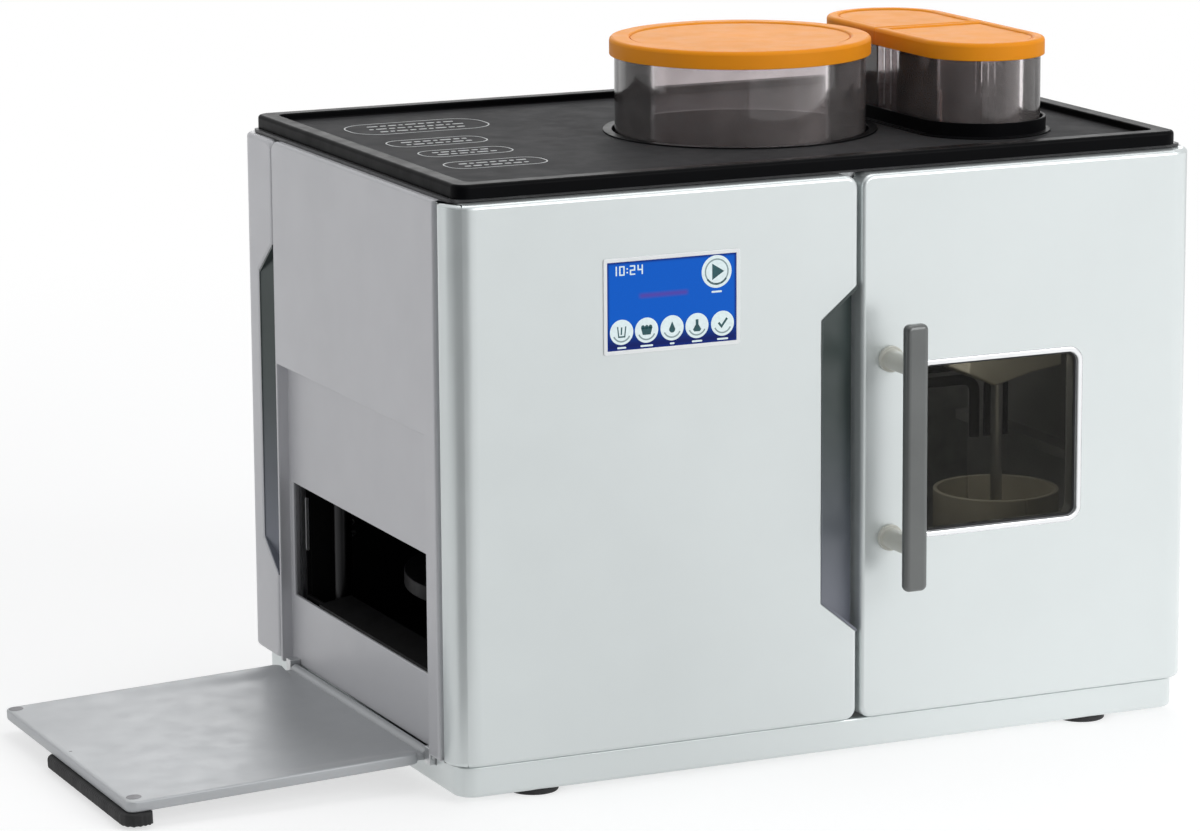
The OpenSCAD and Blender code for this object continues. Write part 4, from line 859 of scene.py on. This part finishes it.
def add_display_marks():
    """Round signs, a clock and plain bars, printed a hair proud of the screen."""
    white, shade, ink = range(3)
    form = Form(on_front)
    low = SCREEN_FACE - PRINT_SINK
    discs = [(x, ICON_Z, ICON_R) for x in ICON_X] + [PLAY]
    for u, v, r in discs:
        profile = [(r, low), (r, SCREEN_FACE + 0.1), (r - 0.3, SCREEN_FACE + ICON_RISE - 0.03),
                   (r - 0.8, SCREEN_FACE + ICON_RISE)]
        form.lathe(u, v, profile, 40, white)
    top = SCREEN_FACE + INK_RISE
    for (u, v, r), glyph in zip(discs, icon_glyphs()):
        for outline in glyph:
            form.plate(scaled(outline, u, v, r), low, top, ink)
        form.plate(crescent(u, v, r * 0.8, r * 0.68, 205, 335, 20), low, top, shade)
    u, v, r = PLAY
    form.band(scaled(circle(0.8, 40), u, v, r), scaled(circle(0.71, 40), u, v, r), low, top, shade)
    form.plate(crescent(u, v, r * 0.82, r * 0.7, 215, 325, 18), low, top, ink)
    form.plate(scaled([(-0.3, 0.5), (-0.3, -0.5), (0.5, 0.0)], u, v, r), low, top, ink)
    labels = [(x, wide, LABEL_Z) for x, wide in zip(ICON_X, LABEL_WIDTHS)]
    labels.append((u, PLAY_LABEL_WIDTH, PLAY_LABEL_Z))
    for x, wide, (z0, z1) in labels:
        form.plate(rounded(x - wide / 2, x + wide / 2, z0, z1, 0.5, 3), low, top, white)
    left = SCREEN.x0 + CLOCK_FROM_LEFT
    base = SCREEN.z1 - CLOCK_BELOW_TOP
    for place, digit in zip(DIGIT_PLACES, CLOCK):
        for outline in digit_outlines(digit, left + place, base, *DIGIT_SIZE):
            form.plate(outline, low, top, white)
    for rise in COLON_RISES:
        form.plate(scaled(circle(COLON_R, 12), left + COLON_PLACE, base + rise, 1.0), low, top, white)
    finishes = ("icon_white", "icon_shade", "icon_ink")
    form.piece("display_marks", BODY_OF["display_screen"], "screen_blue", finishes)


# ---------------- deck badges

BADGES = ((46, 144, 258, 306), (47, 115, 199, 229), (49, 112, 151, 179), (45, 113, 98, 128))
PRINT_RISE = 0.12
BADGE_ROUND = 0.42  # the corners' radius as a share of the badge's depth
BADGE_LINE = 0.9
DASHES = (5.5, 3.0, 7.5, 4.2)
DASH_HALF = 1.3
DASH_GAP = 1.8
DASH_LEAST = 3
DASH_MARGIN = 0.75  # as a share of the corners' radius
ROW_STEP = 3  # how much further in the outer rows start


def add_badges():
    """Four outlined fields on the deck, each with rows of plain dashes."""
    form = Form(on_top)
    low = DECK_FLOOR - PRINT_SINK
    high = DECK_FLOOR + PRINT_RISE
    for number, (x0, x1, y0, y1) in enumerate(BADGES):
        r = (y1 - y0) * BADGE_ROUND
        line = BADGE_LINE
        inner = rounded(x0 + line, x1 - line, y0 + line, y1 - line, r - line, 10)
        form.band(rounded(x0, x1, y0, y1, r, 10), inner, low, high)
        rows = 3 if number == 0 else 2
        for row in range(rows):
            y = y0 + (y1 - y0) * (row + 1) / (rows + 1)
            margin = r * DASH_MARGIN + ROW_STEP * abs(row - (rows - 1) / 2)
            x = x0 + margin
            dash = 0
            while x < x1 - margin - DASH_LEAST:
                wide = DASHES[(dash + row + number) % len(DASHES)]
                end = min(x + wide, x1 - margin)
                form.plate(rounded(x, end, y - DASH_HALF, y + DASH_HALF, 0.9, 3), low, high)
                x = end + DASH_GAP
                dash += 1
    form.piece("deck_badges", BODY_OF["top_deck"], "bezel_white", ("badge_print",))


# ---------------- exit tray

TRAY_AXIS = Vector(next(j["pos_m"] for j in frame["joints"] if j["name"] == "tray_hinge"))
TRAY_SLOPE = math.radians(2.4)
TRAY_LENGTH = 201.5
TRAY_HALF = 3.5
TRAY = extent("exit_tray")
PLATE_END = -8.5
DISH_START = -172.0
DISH_END = -20.0
DISH_SIDES = (5.0, 24.0)
DISH_DEPTH = 3.2
RIM_STEPS = ((1.2, 0.0), (0.35, 0.35), (0.0, 1.2))  # inset and rise of the rounded rim, from its foot
RIM_R = 6.0
RIM_PARTS = (34, 28)
DISH_RINGS = range(4, 93, 3)
BARREL_INSET = 7.5
BARREL_END = (0.5, 0.85)  # length of the tapered end and its share of the radius
MAGNET_R = 6.0
MAGNET_PLACES = ((7.5 - TRAY_LENGTH, TRAY.y0 + 11.0), (6.0 - TRAY_LENGTH, TRAY.y1 - 7.0))
PINHOLE_PLACE = (5.5 - TRAY_LENGTH, (TRAY.y0 + TRAY.y1) / 2 + 3)
GRIP_OVER = 4.0
GRIP_GAP = 0.05
GRIP_WIDTH = 9.0
GRIP_DROP = 8.5
GRIP_LENGTH = 160.0
GRIP_BEND = 6.0
GRIP_STEP = 0.8
GRIP_FOOT_TAPER = 0.05
RIB_PITCH = 3.0
RIB_DEPTH = 0.09


def on_tray(x, y, z):
    """A point of the tray: x is measured from its hinge axis and is negative on the tray."""
    lean = Vector((
        x * math.cos(TRAY_SLOPE) - z * math.sin(TRAY_SLOPE), 0.0,
        x * math.sin(TRAY_SLOPE) + z * math.cos(TRAY_SLOPE),
    ))
    return Vector((TRAY_AXIS.x, CABINET.y + y * MM, TRAY_AXIS.z)) + lean * MM


def ease(value, start, end):
    """0 before start, 1 after end, and a smooth climb between them."""
    share = min(1.0, max(0.0, (value - start) / (end - start)))
    return share * share * (3.0 - 2.0 * share)


def dish(x, y):
    """Depth of the scoop: it deepens towards the hinge and runs out before the sides."""
    side = min(y - TRAY.y0, TRAY.y1 - y)
    return DISH_DEPTH * ease(x, DISH_START, DISH_END) * ease(side, *DISH_SIDES)


def add_tray():
    """The tray's plate with its scoop, and the barrel that turns on the hinge pin."""
    form = Form(on_tray)

    def outline(inset):
        """The plate's outline, made smaller all round by inset."""
        r = max(RIM_R - inset, 0.5) if inset < 5 else 2.0 + inset * 0.03
        return rounded(
            inset - TRAY_LENGTH, PLATE_END - inset, TRAY.y0 + inset, TRAY.y1 - inset, r, 4, RIM_PARTS
        )

    rings = [[(x, y, rise - TRAY_HALF) for x, y in outline(inset)] for inset, rise in RIM_STEPS]
    upper_steps = list(reversed(RIM_STEPS)) + [(inset, 0.0) for inset in DISH_RINGS]
    for inset, drop in upper_steps:
        rings.append([(x, y, TRAY_HALF - drop - dish(x, y)) for x, y in outline(inset)])
    form.loft(rings)
    barrel = [(TRAY_HALF * du, TRAY_HALF * dv) for du, dv in circle(1.0, 40)]
    y0 = TRAY.y0 + BARREL_INSET
    y1 = TRAY.y1 - BARREL_INSET
    taper, slim = BARREL_END
    rows = [(y0, slim), (y0 + taper, 1.0), (y1 - taper, 1.0), (y1, slim)]
    form.loft([[(u * s, y, v * s) for u, v in barrel] for y, s in rows])
    web = [(PLATE_END - 1, -TRAY_HALF + 0.1), (-0.5, -TRAY_HALF + 0.1), (-0.5, 0.3), (PLATE_END - 1, 0.2)]
    form.loft([[(u, y, v) for u, v in web] for y in (y0 + taper, y1 - taper)])
    form.piece("exit_tray_plate", BODY_OF["exit_tray"], "tray_grey", ("tray_grey",), "exit_tray", angle=50.0)


def add_tray_trim():
    """Two magnets in pale rings, and a dark disc by the outer edge that paints the shade of a small hole."""
    ring, dark = range(2)
    form = Form(on_tray)
    for x, y in MAGNET_PLACES:
        form.lathe(x, y, [(MAGNET_R - 0.2, TRAY_HALF - 0.5), (MAGNET_R - 0.2, TRAY_HALF + 0.05),
                          (MAGNET_R - 0.7, TRAY_HALF + 0.22), (MAGNET_R - 1.2, TRAY_HALF + 0.05)], 40, ring)
        form.lathe(x, y, [(MAGNET_R - 1.1, TRAY_HALF), (MAGNET_R - 1.25, TRAY_HALF + 0.16),
                          (MAGNET_R - 2.0, TRAY_HALF + 0.2)], 40, dark)
    # The small hole is not cut: a dark disc paints its shade.
    form.lathe(*PINHOLE_PLACE, [(1.1, TRAY_HALF), (1.0, TRAY_HALF + 0.05)], 16, dark)
    finishes = ("tray_grey", "magnet")
    form.piece("tray_magnet_discs", BODY_OF["tray_magnets"], "magnet", finishes, "tray_magnets")


def add_grip():
    """Ribbed rubber strip under the tray's outer edge, turned round its front corner."""
    half = GRIP_WIDTH / 2
    bend = GRIP_BEND
    x = -TRAY_LENGTH - GRIP_OVER + half
    y = TRAY.y0 - GRIP_OVER + half
    straight = GRIP_LENGTH - GRIP_WIDTH
    path = [(x, y + straight - GRIP_STEP * k) for k in range(int((straight - bend) / GRIP_STEP))]
    path += arc(x + bend, y + bend, bend, 180, 270, 10)
    path += [(x + bend + GRIP_STEP * k, y) for k in range(1, 12)]
    length = 0.0
    rings = []
    last = len(path) - 1
    for k, (u, v) in enumerate(path):
        before = path[max(k - 1, 0)]
        after = path[min(k + 1, last)]
        along = Vector((after[0] - before[0], after[1] - before[1])).normalized()
        length += math.hypot(u - before[0], v - before[1])
        end = min(k, last - k) * GRIP_STEP
        close = math.sqrt(max(0.02, 1.0 - max(0.0, 1.0 - end / half) ** 2))
        groove = 0.5 + 0.5 * math.cos(2 * math.pi * length / RIB_PITCH)
        across = half * (1.0 - RIB_DEPTH * groove) * close
        top = -TRAY_HALF - GRIP_GAP
        foot = -TRAY_HALF - GRIP_DROP * (1.0 - GRIP_FOOT_TAPER * groove)
        section = rounded(-across, across, foot, top, min(2.2, across * 0.7), 4)
        rings.append([(u - along.y * s, v + along.x * s, w) for s, w in section])
    form = Form(on_tray)
    form.loft(rings)
    finishes = ("rubber_black",)
    form.piece("tray_grip_ribbed", BODY_OF["tray_grip"], "rubber_black", finishes, "tray_grip", angle=60.0)


# ---------------- small parts

WINDOW = extent("window_trim")
TRIM_WIDTH = 3.5
WINDOW_R = 10.0
GASKET_EDGES = (TRIM_WIDTH - 0.3, TRIM_WIDTH + 1.4)
GASKET_LEVELS = (-2.98, -2.2)


def add_gasket():
    """Dark rubber seal between the window's trim and its pane."""
    form = Form(on_front)

    def ring(inset):
        return rounded(WINDOW.x0 + inset, WINDOW.x1 - inset, WINDOW.z0 + inset, WINDOW.z1 - inset,
                       WINDOW_R - inset, 10)

    form.band(*map(ring, GASKET_EDGES), *GASKET_LEVELS)
    form.piece("window_gasket", BODY_OF["window_pane"], "rubber_black", ("rubber_black",))


SCREW_PLACES = ((46.0, 119.0), (46.6, 111.0), (210.0, 119.0), (210.0, 111.0))
SCREW_R = 2.4
STRIP = (13.0, 15.0, 103.0, 139.0)
STRIP_RISE = 1.6
CHAMBER_WALL = 2.0


def screw_head(form, u, v, r):
    """A low domed head with its cross cut painted as two dark bars: painted shade of the recess."""
    rise = r * 0.45
    form.lathe(u, v, [(r, 0.0), (r, rise * 0.4), (r * 0.8, rise * 0.8), (r * 0.45, rise)], 24)
    arm = r * 0.5
    # Two dark bars paint the shade in the cross cut.
    for wide, tall in ((arm, r * 0.11), (r * 0.11, arm)):
        form.plate(rounded(u - wide, u + wide, v - tall, v + tall, r * 0.05, 2), 0.0, rise + 0.04, 1)


def add_screws():
    """Two pairs of screw heads and a pale strip on the rear wall behind the exit opening."""
    wall = extent("press_chamber").y1 - CHAMBER_WALL

    def on_wall(u, v, w):
        return at(u, wall - w, v)

    form = Form(on_wall)
    for u, v in SCREW_PLACES:
        screw_head(form, u, v, SCREW_R)
    form.plate(rounded(*STRIP, 0.8, 3), 0.0, STRIP_RISE)
    form.piece("chamber_screws", BODY_OF["press_chamber"], "pin_steel", ("pin_steel", "rubber_black"))


# ---------------- studio

# Name, place, target, size and watts of each lamp.
LAMPS = (
    ("key", (2.0, -2.9, 1.9), (0.2, 0.0, 0.2), (2.2, 1.8), 46.0),
    ("front", (0.5, -3.6, 1.3), (0.1, 0.0, 0.2), (1.6, 1.4), 14.0),
    ("left", (-3.0, 0.4, 0.65), (0.0, 0.0, 0.2), (1.6, 0.9), 12.0),
    ("top", (0.5, 0.3, 2.7), (0.2, 0.0, 0.3), (1.6, 2.4), 20.0),
    ("back", (1.4, 3.0, 1.6), (0.0, 0.0, 0.2), (1.8, 1.6), 15.0),
    ("inner", at(335, 70, 285), at(500, 200, 165), (0.1, 0.03), 0.1),
)
# Colour and strength of the light from all round, as it lights, as mirrors see it and as the camera does.
WORLD_LIT = ((0.96, 0.98, 1.0, 1.0), 0.34)
WORLD_MIRRORED = ((0.8, 0.8, 0.8, 1.0), 1.0)
WORLD_SEEN = ((1.0, 1.0, 1.0, 1.0), 1.0)

FLOOR_SIZE = 12.0
FLOOR_SHADE = (0.5, 0.5, 0.5, 1.0)
FLOOR_GLOW = 0.62
FLOOR_LIT = (0.8, 0.8, 0.8, 1.0)
FLOOR_NEAR = 0.9
FLOOR_FAR = 1.9

# How mirrors see the floor, in metres and in strengths.
GLOW = (0.86, 1.3)
GLOW_PLACES = (-0.02, 0.28)
GLOW_SLOPE = 0.45
FRONT_Y = 0.163  # the cabinet's front lies this far ahead of the frame's middle
WEDGE_X = 0.262  # the dim wedge spreads from a point this far to the left on that line
WEDGE_SLANTS = (0.3, 3.0)
WEDGE_SOFT = 0.2
WEDGE_STARTS = (-0.3, -0.18)
WEDGE_GLOW = 0.04
BEHIND_Y = (0.4, 0.7)
BEHIND_X = (-0.35, -0.2)
BEHIND_GLOW = 0.55

CARD = ((-0.34, -1.4), (-1.25, -0.85), (-1.5, 0.25))
CARD_FOOT = 0.02
CARD_TOP = 1.5


def add_lamp(name, place, target, size, power):
    data = bpy.data.lights.new(name, "AREA")
    data.shape = "RECTANGLE"
    data.size, data.size_y = size
    data.energy = power
    obj = new_object(name, data)
    obj.location = place
    obj.rotation_euler = (Vector(target) - Vector(place)).to_track_quat("-Z", "Y").to_euler()
    obj.visible_camera = False


def add_world():
    """Soft light from all round.  The camera sees it white, and mirrors and glass see it pale."""
    world = bpy.data.worlds.new("studio")
    bpy.context.scene.world = world
    world.use_nodes = True
    tree = world.node_tree
    tree.nodes.clear()

    def add(kind):
        return tree.nodes.new("ShaderNode" + kind)

    def background(color, strength):
        node = add("Background")
        node.inputs["Color"].default_value = color
        node.inputs["Strength"].default_value = strength
        return node

    path = add("LightPath")
    light = background(*WORLD_LIT)
    pale = background(*WORLD_MIRRORED)
    white = background(*WORLD_SEEN)
    for ray, seen in (("Is Glossy Ray", pale), ("Is Transmission Ray", pale), ("Is Camera Ray", white)):
        mix = add("MixShader")
        tree.links.new(path.outputs[ray], mix.inputs["Fac"])
        tree.links.new(light.outputs[0], mix.inputs[1])
        tree.links.new(seen.outputs[0], mix.inputs[2])
        light = mix
    tree.links.new(light.outputs[0], add("OutputWorld").inputs["Surface"])


def mirror_glow(graph):
    """How bright mirrors see the floor: brighter to the right, dim in a wedge off the round front corner,
    which gives that corner its dark stripe, and dim behind the cabinet."""
    x = graph.axis("X")
    y = graph.axis("Y")
    back = graph.math("ADD", y, FRONT_Y)
    along = graph.math("ADD", x, graph.math("MULTIPLY", back, GLOW_SLOPE))
    glow = graph.span(along, *GLOW, *GLOW_PLACES, True)
    slant = graph.math("DIVIDE", graph.math("ADD", x, WEDGE_X), back)
    ahead = graph.span(y, 1.0, 0.0, *WEDGE_STARTS, True)
    wedge = graph.math("MULTIPLY", graph.inside(slant, *WEDGE_SLANTS, WEDGE_SOFT), ahead)
    glow = graph.math("MULTIPLY", glow, graph.span(wedge, 1.0, WEDGE_GLOW))
    behind = graph.math(
        "MULTIPLY", graph.span(y, 0.0, 1.0, *BEHIND_Y, True), graph.span(x, 0.0, 1.0, *BEHIND_X, True)
    )
    return graph.math("MULTIPLY", glow, graph.span(behind, 1.0, BEHIND_GLOW))


def add_floor():
    """A plain pale floor.  It keeps the object's shadow and turns to the backdrop's white further out."""
    bm = bmesh.new()
    bmesh.ops.create_grid(bm, x_segments=8, y_segments=8, size=FLOOR_SIZE)
    mesh = bpy.data.meshes.new("floor")
    bm.to_mesh(mesh)
    bm.free()
    floor = new_object("floor", mesh)
    graph = Graph("floor")
    lit = graph.add("BsdfDiffuse", {"Color": FLOOR_LIT})
    near = graph.add("AddShader", {
        0: graph.add("BsdfDiffuse", {"Color": FLOOR_SHADE}).outputs["BSDF"],
        1: graph.add("Emission", {"Strength": FLOOR_GLOW}).outputs["Emission"],
    })
    far = graph.add("Emission", {"Strength": 1.0})
    mirrored = graph.add("Emission", {"Strength": mirror_glow(graph)})
    reach = graph.add("VectorMath", {0: graph.add("NewGeometry").outputs["Position"]}, operation="LENGTH")
    away = graph.span(reach.outputs["Value"], 0.0, 1.0, FLOOR_NEAR, FLOOR_FAR, True)
    pale = graph.add("MixShader", {"Fac": away, 1: near.outputs["Shader"], 2: far.outputs["Emission"]})
    path = graph.add("LightPath").outputs
    look = graph.math("MAXIMUM", path["Is Camera Ray"], path["Is Transmission Ray"])
    seen = graph.add("MixShader", {"Fac": look, 1: lit.outputs["BSDF"], 2: pale.outputs["Shader"]})
    both = graph.add("MixShader", {
        "Fac": path["Is Glossy Ray"], 1: seen.outputs["Shader"], 2: mirrored.outputs["Emission"],
    })
    mesh.materials.append(graph.finish(both.outputs["Shader"]))


def add_card():
    """A dark card off to the left front.  Only glossy surfaces see it: it helps make the corner's stripe."""
    corners = [(x, y, z) for z in (CARD_FOOT, CARD_TOP) for x, y in CARD]
    mesh = bpy.data.meshes.new("card")
    mesh.from_pydata(corners, [], [(0, 1, 4, 3), (1, 2, 5, 4)])
    card = new_object("card", mesh)
    mesh.materials.append(surface("card", (0.02, 0.02, 0.022), (0.8, 0.9), (0.01, 0.0001)))
    for ray in ("camera", "diffuse", "transmission", "volume_scatter", "shadow"):
        setattr(card, "visible_" + ray, False)


def set_studio():
    add_world()
    add_floor()
    for values in LAMPS:
        add_lamp(*values)
    add_card()


# ---------------- assembly

BODY_OF = {node: body for body, nodes in frame["record"]["behaviour"]["bodies"].items() for node in nodes}
SLOT_OF = {row["node"]: row["material_slot"] for row in frame["record"]["subparts"]}
# The guide columns take near-black steel: painted shade.
# The rear door takes the darker side finish: painted shade.
FINISH_OF = {"guide_columns": "column_steel_painted_dark", "rear_door": "side_shell"}
MATERIALS = make_materials()

for node, item in frame["nodes"].items():
    item.data.materials.clear()
    item.data.materials.append(MATERIALS[FINISH_OF.get(node, SLOT_OF[node])])

soften_front_doors()
soften_rear_door()
soften_panels()
soften_top()
soften_fittings()
add_display_marks()
add_badges()
add_tray()
add_tray_trim()
add_grip()
add_gasket()
add_screws()
add_camera()
set_studio()
bpy.context.scene.view_settings.view_transform = "Standard"
